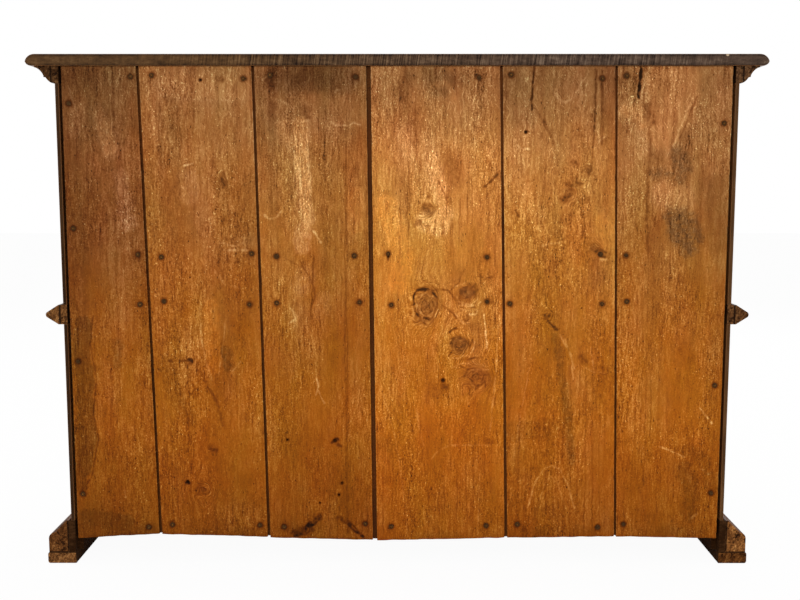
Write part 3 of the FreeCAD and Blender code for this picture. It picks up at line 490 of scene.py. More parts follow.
# Darker places, the same columns: stains, and the tall ones along the side at +x painted shade.
STAINS_AND_EDGE_SHADE = (
    (690, 900, 30, 300, 0.30), (684, 420, 26, 110, 0.25), (650, 110, 60, 45, 0.25), (265, 900, 14, 110, 0.22),
    (680, 1040, 50, 40, 0.18), (220, 75, 40, 14, 0.35), (380, 440, 26, 110, 0.20), (-375, 250, 10, 80, 0.12),
    (-640, 190, 26, 60, 0.15), (140, 700, 30, 200, 0.14), (-300, 70, 60, 12, 0.30), (-420, 72, 60, 12, 0.30),
    (-610, 72, 80, 14, 0.35), (330, 70, 60, 12, 0.30), (-100, 62, 80, 10, 0.25), (420, 72, 60, 12, 0.25),
    (-30, 1065, 14, 20, 0.30), (-120, 1060, 60, 20, 0.25), (470, 960, 20, 60, 0.20), (500, 900, 8, 120, 0.25),
    (190, 1060, 90, 24, 0.25), (-470, 1060, 40, 26, 0.20), (640, 960, 70, 50, 0.24), (-705, 640, 32, 430, 0.27),
    (-690, 1055, 44, 50, 0.20), (640, 220, 90, 60, 0.08), (470, 955, 70, 40, 0.10), (-60, 430, 90, 50, 0.08),
)
# Drawn marks: half width, softness of the edge, strength, and the points they run through.
# Ring lines, cracks, dents and dark scribbles round the knots.
DARK_LINES = (
    (2.4, 1.7, 0.95, ((-36, 577), (-35, 594), (-42, 609), (-55, 613), (-67, 610), (-78, 602), (-89, 589),
     (-95, 582))),
    (3.4, 1.7, 1, ((-41, 606), (-47, 610), (-61, 609))),
    (1.7, 1.5, 0.6, ((-95, 577), (-109, 568), (-123, 555), (-128, 547))),
    (2.1, 1.5, 0.9, ((-38, 563), (-44, 555), (-48, 546))),
    (1.5, 1.3, 0.45, ((-36, 577), (-38, 563), (-53, 540), (-69, 528), (-83, 533))),
    (1.7, 1.5, 0.6, ((-74, 608), (-92, 610), (-109, 607), (-117, 600), (-124, 587), (-133, 577))),
    (1.5, 1.3, 0.5, ((-116, 609), (-125, 617), (-133, 626), (-136, 638), (-143, 650))),
    (1.5, 1.3, 0.5, ((-60, 587), (-67, 573), (-74, 558), (-81, 553))),
    (1.3, 1.3, 0.45, ((-50, 577), (-60, 566), (-65, 549))), (1.3, 1.3, 0.45, ((-74, 587), (-81, 573), (-87, 563))),
    (17.2, 8.6, 0.48, ((-143, 596), (-158, 606))),
    (1.5, 1.3, 0.6, ((-132, 601), (-139, 612), (-155, 617), (-167, 612))),
    (1.3, 1.3, 0.5, ((-135, 571), (-151, 569), (-170, 571))),
    (1.5, 1.3, 0.5, ((-142, 544), (-151, 542), (-157, 547), (-153, 554))),
    (2.1, 1.7, 0.75, ((-113, 516), (-118, 522), (-128, 527))), (17.2, 7.5, 0.45, ((-129, 496), (-140, 492))),
    (1.7, 1.3, 0.7, ((-115, 490), (-119, 502), (-130, 508), (-143, 504), (-153, 492), (-156, 485))),
    (1.7, 1.3, 0.65, ((-156, 478), (-160, 492), (-163, 502))),
    (1.7, 1.3, 0.65, ((-112, 466), (-119, 476), (-128, 480), (-140, 478), (-147, 485))),
    (1.5, 1.3, 0.55, ((-123, 492), (-130, 485), (-137, 490), (-134, 498))),
    (1.9, 1.5, 0.65, ((-145, 457), (-156, 457), (-166, 461), (-175, 461))),
    (1.7, 1.5, 0.6, ((-138, 442), (-152, 435), (-166, 438))),
    (1.7, 1.5, 0.6, ((-171, 428), (-185, 421), (-194, 423))),
    (1.7, 1.5, 0.55, ((-145, 423), (-159, 414), (-169, 404))),
    (1.7, 1.5, 0.55, ((-176, 418), (-190, 411), (-192, 397))),
    (1.5, 1.5, 0.5, ((-152, 402), (-157, 392), (-157, 380))), (21.5, 12.9, 0.3, ((-157, 418), (-190, 416))),
    (7.5, 5.4, 0.6, ((-99, 399), (-105, 397))), (19.3, 12.9, 0.22, ((-84, 385), (-105, 387))),
    (1.7, 1.5, 0.5, ((-167, 637), (-176, 638), (-183, 635))),
    (1.7, 1.5, 0.5, ((-188, 631), (-195, 637), (-204, 636))), (10.8, 8.6, 0.22, ((-136, 645), (-132, 629))),
    (8.6, 6.4, 0.22, ((-175, 528), (-156, 528))), (1.7, 1.3, 0.7, ((-88, 842), (-97, 820), (-108, 806))),
    (10.8, 6.4, 0.5, ((-62, 784), (-73, 780))), (4.3, 4.3, 0.4, ((-38, 745), (-46, 752))),
    (2.6, 1.7, 0.7, ((-186, 829), (-205, 846), (-212, 855))), (19.3, 12.9, 0.28, ((-110, 878), (-124, 846))),
    (2.6, 1.9, 0.9, ((20, 687), (19, 674))), (12.9, 8.6, 0.3, ((-18, 1057), (-11, 1022))),
    (1.9, 1.3, 0.85, ((-288, 1076), (-286, 1043), (-284, 1013), (-284, 989))),
    (1.5, 1.3, 0.45, ((-274, 989), (-274, 943))),
    (2.8, 2.1, 0.4, ((-295, 986), (-308, 967), (-324, 937), (-334, 909), (-341, 875))),
    (2.1, 1.9, 0.48, ((-419, 1070), (-418, 1034), (-417, 998), (-416, 952), (-414, 906), (-412, 863))),
    (2.1, 1.9, 0.52, ((-430, 1070), (-433, 1028), (-433, 989), (-434, 958), (-432, 918))),
    (3, 1.9, 0.5, ((-430, 1052), (-429, 1031))), (6.4, 3.4, 0.62, ((-375, 880), (-376, 879))),
    (6.9, 4.7, 0.55, ((-403, 864), (-408, 858))), (6.4, 3.9, 0.5, ((-361, 837), (-366, 832))),
    (6.4, 3.9, 0.5, ((-383, 838), (-388, 835))), (8.6, 4.3, 0.58, ((-356, 803), (-370, 818))),
    (2.1, 1.7, 0.7, ((-252, 778), (-259, 767))), (2.6, 1.7, 0.7, ((-422, 692), (-435, 695), (-447, 689))),
    (3.4, 2.1, 0.8, ((-432, 682), (-444, 679))), (2.6, 1.7, 0.75, ((-318, 554), (-328, 540), (-344, 522))),
    (5.4, 3.2, 0.55, ((-319, 548), (-328, 552))), (7.3, 4.3, 0.5, ((-399, 462), (-405, 453))),
    (3.4, 1.5, 1, ((-512, 1076), (-511, 1058), (-509, 1040), (-507, 1016))),
    (1.9, 1.5, 0.45, ((-631, 1017), (-617, 985), (-608, 958), (-597, 930))),
    (9.7, 6.4, 0.45, ((-527, 995), (-537, 967))),
    (3.2, 3.2, 0.44, ((-532, 952), (-535, 930), (-535, 906), (-534, 875), (-532, 844), (-532, 798),
     (-533, 751), (-537, 689))),
    (1.5, 1.3, 0.35, ((104, 957), (107, 917), (108, 877), (110, 834), (111, 796), (109, 756), (107, 715),
     (105, 671))),
    (10.8, 6.4, 0.4, ((268, 1062), (265, 1042))), (8.6, 6.4, 0.3, ((207, 1055), (204, 1036))),
    (6.4, 5.4, 0.35, ((192, 989), (188, 975))), (5.4, 4.3, 0.3, ((264, 1002), (263, 970))),
    (1.9, 1.5, 0.5, ((204, 662), (186, 634), (175, 597), (186, 569))),
    (1.7, 1.5, 0.35, ((236, 676), (213, 662), (200, 634))), (3.9, 2.1, 0.9, ((142, 272), (131, 281))),
    (3, 2.1, 0.6, ((130, 268), (122, 265))), (2.6, 1.7, 0.6, ((126, 182), (120, 182))),
    (2.4, 1.7, 0.6, ((129, 158), (128, 155))), (2.4, 1.7, 0.5, ((171, 137), (167, 137))),
    (6.9, 4.3, 0.85, ((198, 82), (171, 104))), (9.7, 5.4, 0.65, ((224, 67), (194, 77))),
    (3.2, 1.9, 0.85, ((115, 95), (95, 76), (74, 59))), (5.4, 3.2, 0.5, ((128, 104), (110, 94))),
    (1.5, 1.3, 0.4, ((112, 587), (113, 458), (111, 327), (112, 212), (109, 68))),
    (5.4, 3.4, 0.45, ((-197, 276), (-205, 274))), (4.3, 2.6, 0.7, ((564, 1060), (556, 1057))),
    (25.8, 17.2, 0.16, ((701, 1065), (669, 1065), (636, 1073))),
    (1.5, 1.1, 0.5, ((655, 553), (664, 492), (652, 414), (662, 344), (652, 283), (671, 194), (699, 158))),
    (3.9, 2.6, 0.8, ((697, 158), (692, 156))), (3.4, 2.6, 0.42, ((429, 432), (408, 392), (388, 353), (380, 309))),
    (1.9, 1.5, 0.5, ((455, 410), (460, 397), (448, 379), (439, 392), (447, 410))),
    (6.4, 4.3, 0.55, ((407, 263), (398, 256))), (3.4, 2.1, 0.85, ((462, 184), (458, 182))),
    (8.6, 6.4, 0.3, ((435, 176), (426, 163))), (2.6, 1.9, 0.5, ((493, 454), (441, 454))),
    (2.6, 1.9, 0.8, ((450, 458), (442, 451))), (5.6, 3.9, 0.5, ((373, 845), (369, 833))),
    (6.4, 4.3, 0.5, ((374, 1057), (369, 1053))),
)
# Scratches, torn fibres and ring lines that show pale.
SCUFFS = (
    (1.5, 1.3, 0.45, ((-48, 596), (-62, 601), (-76, 589), (-84, 575))),
    (1.3, 1.1, 0.55, ((-41, 582), (-45, 568), (-53, 554), (-56, 540))),
    (1.3, 1.1, 0.6, ((-123, 615), (-137, 621), (-146, 624))),
    (1.3, 1.1, 0.6, ((-127, 596), (-132, 584), (-144, 580), (-158, 577), (-172, 587), (-174, 601))),
    (1.3, 1.1, 0.65, ((-132, 577), (-151, 574), (-167, 575), (-179, 582))),
    (1.3, 1.1, 0.6, ((-137, 566), (-153, 564), (-170, 566))),
    (1.5, 1.1, 0.7, ((-156, 555), (-167, 556), (-173, 563))),
    (1.5, 1.1, 0.6, ((-125, 558), (-135, 544), (-144, 535), (-154, 537))),
    (1.5, 1.1, 0.6, ((-119, 462), (-131, 459), (-142, 466), (-156, 464))),
    (1.5, 1.1, 0.65, ((-161, 473), (-166, 485), (-168, 497))),
    (1.7, 1.1, 1, ((-187, 555), (-190, 532), (-191, 509), (-194, 492), (-194, 479))),
    (1.3, 1.1, 0.5, ((-119, 438), (-138, 447), (-156, 450))),
    (1.3, 1.1, 0.55, ((-161, 434), (-180, 436), (-199, 435))),
    (1.9, 1.3, 0.55, ((-327, 1034), (-338, 1013), (-354, 1005), (-372, 1016), (-387, 1046), (-399, 1064))),
    (1.7, 1.3, 0.6, ((-253, 918), (-262, 909), (-278, 909))), (2.6, 1.7, 0.7, ((-437, 674), (-448, 673))),
    (2.1, 1.7, 0.5, ((-426, 924), (-442, 937))), (2.1, 1.7, 0.45, ((-309, 704), (-350, 711))),
    (1.5, 1.1, 0.55, ((-350, 514), (-367, 484), (-385, 436))),
    (1.3, 1.1, 0.5, ((-363, 501), (-376, 466), (-382, 414))),
    (1.3, 1.1, 0.4, ((-255, 238), (-267, 327), (-287, 440))),
    (1.7, 1.3, 0.6, ((-287, 127), (-303, 185), (-320, 214), (-338, 222), (-358, 212), (-375, 176), (-392, 118))),
    (1.3, 1.1, 0.4, ((-310, 131), (-325, 185), (-338, 198), (-353, 180), (-370, 127))),
    (1.3, 1.1, 0.5, ((-419, 484), (-426, 436))), (1.3, 1.1, 0.5, ((-407, 440), (-420, 432), (-450, 427))),
    (2.6, 1.9, 0.6, ((-522, 1067), (-519, 1043), (-512, 1016))),
    (1.9, 1.5, 0.55, ((-623, 1017), (-610, 985), (-600, 958), (-590, 934), (-584, 914))),
    (1.7, 1.3, 0.95, ((-573, 265), (-596, 256), (-629, 241))),
    (1.7, 1.3, 0.95, ((-658, 351), (-671, 334), (-687, 316))), (1.5, 1.1, 0.7, ((-664, 216), (-682, 203))),
    (2.1, 1.5, 0.8, ((-644, 100), (-659, 112))), (1.7, 1.3, 0.55, ((255, 964), (229, 967), (208, 965), (184, 968))),
    (1.7, 1.3, 0.7, ((219, 904), (212, 882), (208, 850), (204, 823))),
    (1.5, 1.3, 0.6, ((191, 941), (188, 904), (188, 850))), (1.9, 1.3, 0.8, ((282, 1052), (272, 1060), (263, 1064))),
    (2.4, 1.5, 0.95, ((179, 736), (171, 723), (164, 711))),
    (2.1, 1.5, 0.7, ((284, 769), (273, 761), (259, 763), (248, 777))),
    (1.9, 1.3, 0.7, ((138, 962), (125, 957), (106, 958))),
    (1.9, 1.3, 0.8, ((100, 957), (92, 964), (84, 960), (76, 959))), (2.6, 1.9, 0.6, ((132, 1026), (121, 1032))),
    (2.6, 1.9, 0.55, ((258, 1047), (247, 1049), (255, 1028))),
    (2.6, 1.9, 0.5, ((207, 1042), (191, 1047), (199, 1028))),
    (2.6, 1.9, 0.5, ((253, 1012), (245, 1010), (221, 994))), (1.9, 1.3, 0.6, ((228, 569), (214, 550), (233, 536))),
    (1.7, 1.3, 0.9, ((175, 414), (171, 397), (177, 379))), (1.5, 1.1, 0.8, ((171, 390), (164, 372), (159, 360))),
    (2.1, 1.7, 0.55, ((228, 570), (218, 544), (223, 527))),
    (1.3, 1.1, 0.4, ((30, 379), (6, 292), (-7, 212), (-19, 131), (-22, 68))),
    (1.3, 1.1, 0.35, ((-42, 353), (-48, 309), (-59, 265))),
    (1.7, 1.3, 0.45, ((-76, 238), (-89, 254), (-115, 268), (-158, 267), (-206, 268))),
    (1.5, 1.1, 0.5, ((-219, 535), (-215, 449), (-209, 370), (-203, 300))),
    (1.3, 1.1, 0.4, ((-181, 203), (-179, 131), (-178, 68))),
    (1.7, 1.3, 0.5, ((689, 1034), (681, 1002), (672, 978))), (2.4, 1.5, 1, ((599, 166), (598, 151))),
    (1.3, 1.1, 0.45, ((371, 536), (378, 475), (389, 414))),
    (1.3, 1.1, 0.45, ((426, 570), (423, 510), (416, 458), (400, 410))), (1.5, 1.1, 0.5, ((356, 432), (339, 453))),
    (2.1, 1.3, 0.85, ((452, 873), (433, 877))), (1.9, 1.3, 0.55, ((378, 710), (345, 702), (328, 710))),
    (2.6, 1.9, 0.6, ((361, 694), (320, 694))), (1.7, 1.3, 0.4, ((391, 648), (371, 623), (338, 611))),
)
# Places a shade lighter or darker, with a clear edge.
CASTS = (
    (23.6, 4.3, 0.1, ((22, 788), (4, 733), (-11, 678), (-4, 622))), (27.9, 8.6, -0.09, ((-76, 1064), (-91, 1043))),
    (12.9, 4.3, 0.06, ((-430, 758), (-449, 742), (-447, 704))), (30.1, 10.8, -0.05, ((-239, 1058), (-264, 982))),
    (8.6, 4.3, -0.1, ((-341, 510), (-355, 432), (-367, 362), (-375, 300), (-382, 230))),
    (21.5, 3.2, -0.05, ((-254, 300), (-315, 300), (-366, 309))), (30.1, 17.2, -0.06, ((-674, 829), (-684, 720))),
    (19.3, 6.4, -0.07, ((-632, 212), (-651, 167), (-640, 113))),
    (15, 4.3, -0.06, ((-635, 256), (-670, 238), (-690, 176))), (15, 3.2, 0.06, ((88, 815), (88, 742))),
    (30.1, 10.8, -0.1, ((244, 1055), (177, 1057), (110, 1052))), (15, 2.6, -0.05, ((32, 274), (25, 263))),
    (9.7, 6.4, -0.09, ((603, 492), (606, 445))), (17.2, 3.2, 0.09, ((400, 570), (399, 501), (396, 440))),
    (10.8, 5.4, -0.12, ((372, 475), (366, 440))), (17.2, 3.2, -0.05, ((502, 449), (486, 388), (453, 327))),
)
# Rubbed dry and grey.
BARE_PATCHES = (
    (34.4, 8.6, 0.60, ((-559, 1052), (-566, 1013), (-564, 973), (-559, 943))),
    (30.1, 8.6, 0.50, ((-605, 1052), (-606, 1022), (-589, 973))), (27.9, 10.8, 0.6, ((-566, 813), (-604, 804))),
    (15, 4.7, 0.85, ((205, 962), (202, 930), (202, 877), (197, 837))),
    (14, 4.3, 0.9, ((197, 837), (194, 796), (190, 756))), (18.3, 5.4, 0.75, ((201, 734), (203, 704))),
    (19.3, 8.6, 0.45, ((238, 952), (224, 930))), (19.3, 10.8, 0.5, ((195, 643), (204, 616))),
    (17.2, 8.6, 0.35, ((158, 587), (163, 561))), (17.2, 8.6, 0.8, ((618, 954), (608, 906))),
    (15, 8.6, 0.75, ((587, 849), (580, 800), (574, 751))), (12.9, 8.6, 0.5, ((631, 986), (620, 954))),
    (15, 8.6, 0.35, ((671, 994), (685, 946))), (19.3, 8.6, 0.4, ((444, 849), (441, 808))),
    (25.8, 12.9, 0.4, ((476, 1041), (330, 1033))), (15, 8.6, 0.55, ((-73, 893), (-88, 842), (-92, 806))),
    (21.5, 8.6, 0.75, ((-62, 758), (-88, 747), (-99, 769))), (10.8, 6.4, 0.5, ((-15, 940), (-18, 904))),
    (6.4, 4.3, 0.45, ((-73, 1036), (-91, 1045), (-109, 1043), (-120, 1011))),
    (12.9, 8.6, 0.55, ((-484, 988), (-505, 986), (-518, 961))),
)
# Grey-black smears.
SOOT_SMEARS = (
    (12.9, 12.9, 0.62, ((-591, 903), (-598, 878), (-600, 850))), (10.8, 10.8, 0.5, ((-607, 894), (-614, 865))),
    (10.8, 12.9, 0.45, ((-543, 857), (-565, 858), (-580, 854))),
    (17.2, 19.3, 0.70, ((-602, 766), (-615, 742), (-622, 700))), (15, 15, 0.6, ((-583, 770), (-600, 716))),
    (12.9, 15, 0.55, ((-627, 764), (-640, 722))),
)
# Brown darkening along the foot near the side at +x, and up that side, where it is painted shade.
EDGE_DARKENING_AND_SHADE = (
    (19.3, 2.6, 0.42, ((676, 536), (684, 484), (676, 414), (680, 353), (673, 287), (690, 212))),
    (15, 2.1, 0.35, ((694, 300), (689, 238), (695, 176))), (21.5, 6.4, 0.38, ((685, 104), (633, 96), (598, 91))),
    (17.2, 8.6, 0.3, ((703, 78), (651, 68), (546, 73))), (27.9, 12.9, 0.2, ((692, 760), (688, 640),
     (690, 530), (692, 440))),
)
# How light each plank is, from the right side to the left: its body, more at chest height, less at its head. Then
# how dry and grey it has become, and how golden it is at chest height.
PLANK_TONES = ((1.02, -0.34, 0.44, 0.86, -0.10), (1.12, -0.04, 0.17, 0.84, 0.0), (1.08, 0.14, 0.35, 0.92, 0.07),
               (1.50, 0.20, 0.34, 1.0, 0.11), (1.33, 0.20, 0.42, 1.03, 0.10), (1.30, -0.13, 0.20, 1.14, 0.05))


def near_line(x, z, ends):
    """Distance of every point from one straight stretch, and how far along it lies."""
    (x0, z0), (x1, z1) = ends
    length = max(math.hypot(x1 - x0, z1 - z0), 1e-6)
    along = np.clip(((x - x0) * (x1 - x0) + (z - z0) * (z1 - z0)) / length ** 2, 0.0, 1.0)
    return np.hypot(x - x0 - along * (x1 - x0), z - z0 - along * (z1 - z0)), along


def blob(x, z, mark):
    return np.exp(-((x - mark[0]) / mark[2]) ** 2 - ((z - mark[1]) / mark[3]) ** 2)


def drawn(x, z, marks, sway, lift, broken, curdled):
    """How strongly a set of drawn marks shows at each point. Wide marks get ragged edges and a mottled middle."""
    show = np.zeros_like(x)
    for wide, soft, strength, bends in marks:
        reach = wide + soft + 8
        left, low = np.min(bends, 0) - reach
        right, high = np.max(bends, 0) + reach
        near = (x > left) & (x < right) & (z > low) & (z < high)
        if not near.any():
            continue
        jitter = 0.3 + min(wide, 16.0) / 16.0
        spot = x[near] + jitter * sway[near], z[near] + jitter * lift[near]
        gap = np.min([near_line(*spot, ends)[0] for ends in zip(bends, bends[1:])], 0)
        uneven = np.clip(0.9 + 0.9 * broken[near], 0.3, 1.3) if wide < 5 else 1.0
        level = np.clip((wide * uneven + soft - gap) / (2 * soft), 0, 1)
        level = strength * level * level * (3 - 2 * level) * np.minimum(1.25, 0.55 + 0.7 * uneven)
        if 5 < wide < 24:
            level *= np.clip(0.95 + 1.0 * curdled[near], 0.35, 1.5)
        show[near] = np.where(np.abs(level) > np.abs(show[near]), level, show[near])
    return show


def wobble(points, size, seed):
    """Slow random unevenness, from -1 to 1."""
    return np.array([noise.noise((a / size, b / size, seed)) for a, b in points])


PLANK_HEAD = 1070  # a split that starts above this runs out at the plank's head


def knot_marks(x, z, sway, lift, broken, curdled):
    """The grain's run round the knots, their relief and stain, and where wood is knotty or shows pale whorls."""
    relief, stain, knotty, whorls = (np.zeros_like(x) for _ in range(4))
    across, upward = x + 0.5 * sway, z + 0.5 * lift
    for kx, kz, wide, high, lean, rim, heart in KNOTS:
        turn = math.radians(lean)
        grown = min(1.0, wide / 14.0)
        dx = (x + grown * sway - kx) * math.cos(turn) + (z + grown * lift - kz) * math.sin(turn)
        dz = (z + grown * lift - kz) * math.cos(turn) - (x + grown * sway - kx) * math.sin(turn)
        reach = np.hypot(dx / wide, dz / high)
        inside = np.exp(-(reach / 1.25) ** 4)
        push = wide * np.exp(-(dz / (2.4 * high)) ** 2) * np.exp(-np.abs(dx) / (1.8 * wide))
        across -= np.sign(dx) * push * (1 - inside)
        across = across * (1 - inside) + (kx + reach * wide * 1.3) * inside
        upward = upward * (1 - inside) + (kz + np.arctan2(dz, dx) * wide * 0.4) * inside
        ring = np.exp(-((reach - 1) / 0.22) ** 2)
        core = np.exp(-(reach / 0.75) ** 2) * np.clip(0.9 + 1.1 * curdled, 0, 1.8)
        curl = np.sin(reach * wide / 1.25 + 2.6 * curdled + 1.5 * broken + np.arctan2(dz, dx))
        whorl = np.exp(-(reach / 1.35) ** 4) * min(1.0, wide / 22.0 + 0.2)
        stain = np.maximum(stain, np.maximum(ring * rim, core * heart))
        dark = np.clip(curl + 0.5 * curdled, 0, 1) ** 1.5 * np.clip(0.8 + broken, 0.3, 1.2)
        stain = np.maximum(stain, 0.85 * whorl * dark)
        whorls = np.maximum(whorls, 0.35 * whorl * np.clip(-curl - 0.3 + 0.8 * curdled, 0, 1))
        knotty = np.maximum(knotty, whorl * min(1.0, 2.2 * heart))
        relief += 0.35 * core - 0.7 * ring + 0.25 * whorl * curl
    return across, upward, relief, stain, knotty, whorls


def plank_marks(x, z, number):
    """Relief in millimetres, grain run, shares of scuffs, stains (with painted shade in holes and splits), grey and
    soot, and tone (with painted shade along the side at +x) at each point.
    """
    points = list(zip(x, z))
    sway = 4.0 * wobble(points, 16.0, 21.0) + 2.0 * wobble(points, 6.0, 23.0)
    lift = 4.0 * wobble(points, 16.0, 31.0) + 2.0 * wobble(points, 6.0, 33.0)
    broken = wobble(points, 11.0, 41.0)
    curdled = 0.6 * wobble(points, 5.0, 47.0) + 0.7 * wobble(points, 10.0, 53.0)

    def shown(marks, mottle=curdled):
        return drawn(x, z, marks, sway, lift, broken, mottle)

    across, upward, relief, stain, knotty, whorls = knot_marks(x, z, sway, lift, broken, curdled)
    # Each hole is sunk and painted near-black inside: painted shade in the hole.
    for hx, hz, wide in HOLES:
        gap = np.hypot(x - hx, z - hz)
        relief -= 5.0 * np.exp(-(gap / wide) ** 4)
        stain = np.maximum(stain, 1.25 * np.exp(-(gap / (1.25 * wide)) ** 4))
    # Each split is grooved and painted dark along its length: painted shade in the crack.
    for wide, deep, dark, bends in SPLITS:
        for ends in zip(bends, bends[1:]):
            gap, along = near_line(x + 0.45 * sway, z, ends)
            shut = 1.0
            if ends[0] is bends[0] and ends[0][1] < PLANK_HEAD:
                shut = np.clip(along * 3, 0, 1)
            if ends[1] is bends[-1]:
                shut = np.clip((1 - along) * 3, 0, 1)
            relief -= deep * np.exp(-(gap / wide) ** 2) * shut
            stain = np.maximum(stain, dark * np.exp(-(gap / (1.2 * wide)) ** 2) * shut)
    for crown in nail_spots:
        gap = np.hypot(x + 0.4 * sway - 1000 * crown.x, z + 0.4 * lift - 1000 * crown.z)
        stain = np.maximum(stain, 0.45 * np.exp(-(gap / 9.0) ** 2) + 0.55 * np.exp(-((gap - 5.5) / 2.4) ** 2))
        relief -= 0.8 * np.exp(-(gap / 6.5) ** 2)
    body, chest, head, dry, gold = PLANK_TONES[number - 1]
    grey = dry * np.clip((z - 330) / 720, 0, 1) ** 1.5
    for mark in RUBBED:
        grey = grey + 0.6 * mark[4] * blob(x, z, mark)
    # Stains, darkening along the foot, and painted shade up the side at +x, all taken off the tone.
    stains_and_edge_shade = shown(EDGE_DARKENING_AND_SHADE, 0.15 * curdled)
    for mark in STAINS_AND_EDGE_SHADE:
        stains_and_edge_shade = np.maximum(stains_and_edge_shade, mark[4] * blob(x + 2 * sway, z + 2 * lift, mark))
    lines = shown(DARK_LINES)
    stain = np.maximum(stain, lines)
    relief -= 0.5 * lines
    worn = whorls + 0.76 * shown(SCUFFS)
    relief -= 0.3 * worn
    bare = shown(BARE_PATCHES)
    grey = np.clip(grey + 0.55 * bare, 0, 1.2)
    soot = np.maximum(shown(SOOT_SMEARS), 0.42 * knotty)
    tone = body * (1 + chest * np.exp(-((z - 760) / 200) ** 2)) * (1 - head * np.clip((z - 900) / 150, 0, 1))
    tone *= (1 - 0.30 * np.clip((330 - z) / 240, 0, 1)) * (1 - 0.8 * stains_and_edge_shade)
    tone *= 1 + 2.2 * shown(CASTS) + 0.35 * bare
    low = np.clip((400 - z) / 200, 0, 1)
    yellow = 1 + gold * np.exp(-((z - 740) / 170) ** 2) - 0.09 * low
    tone = np.stack([tone, tone * yellow, tone * (1 - 0.28 * low)], 1)
    return relief, across, upward, (worn, stain, grey, soot), tone


def plank_corners(name, outward):
    """Foot and head corners of a plank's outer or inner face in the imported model, each from low to high x."""
    spots = {tuple(round(c, 5) for c in v.co) for v in nodes[name].data.vertices}
    face = max(s[1] for s in spots) if outward else min(s[1] for s in spots)
    flat = [s for s in spots if abs(s[1] - face) < 1e-4]
    head = max(s[2] for s in flat)
    feet, heads = (sorted(s for s in flat if (head - s[2] > 0.5) == low) for low in (True, False))
    return feet[0], feet[-1], heads[0], heads[-1]


CELL_WIDE, CELL_TALL = 0.0016, 0.0024  # one cell of a plank's worn face
PROUD = 1.2  # the most that a worn face stands out, in millimetres
CREASE = 0.9  # edges sharper than this stay sharp, in radians


def plank_body(bm, name, lap):
    """Walls behind a worn face, down to the lap, and the part of the plank behind the lap."""
    rim = [e for e in bm.edges if e.is_boundary]
    walls = bmesh.ops.extrude_edge_only(bm, edges=rim)["geom"]
    for e in rim:
        e.smooth = False
    for v in (g for g in walls if isinstance(g, bmesh.types.BMVert)):
        v.co.y = lap
    bmesh.ops.contextual_create(bm, geom=[e for e in bm.edges if e.is_boundary])
    tongue = bmesh.ops.create_grid(bm, x_segments=1, y_segments=1, size=0.5)["verts"]
    for v, c in zip(sorted(tongue, key=lambda v: (v.co.y, v.co.x)), plank_corners(name, False)):
        v.co = c
    board = [f for f in bm.faces if tongue[0] in f.verts]
    raised = bmesh.ops.extrude_face_region(bm, geom=board)["geom"]
    for v in (g for g in raised if isinstance(g, bmesh.types.BMVert)):
        v.co.y = lap
    bmesh.ops.recalc_face_normals(bm, faces=bm.faces)
    for f in bm.faces:
        f.smooth = True
    for e in bm.edges:
        if e.is_manifold and e.calc_face_angle() > CREASE:
            e.smooth = False


def new_piece(name, bm, coats):
    """A piece of its own, from a finished mesh."""
    mesh = bpy.data.meshes.new(name)
    bm.to_mesh(mesh)
    bm.free()
    for coat in coats:
        mesh.materials.append(coat)
    piece = bpy.data.objects.new(name, mesh)
    bpy.context.scene.collection.objects.link(piece)
    return piece


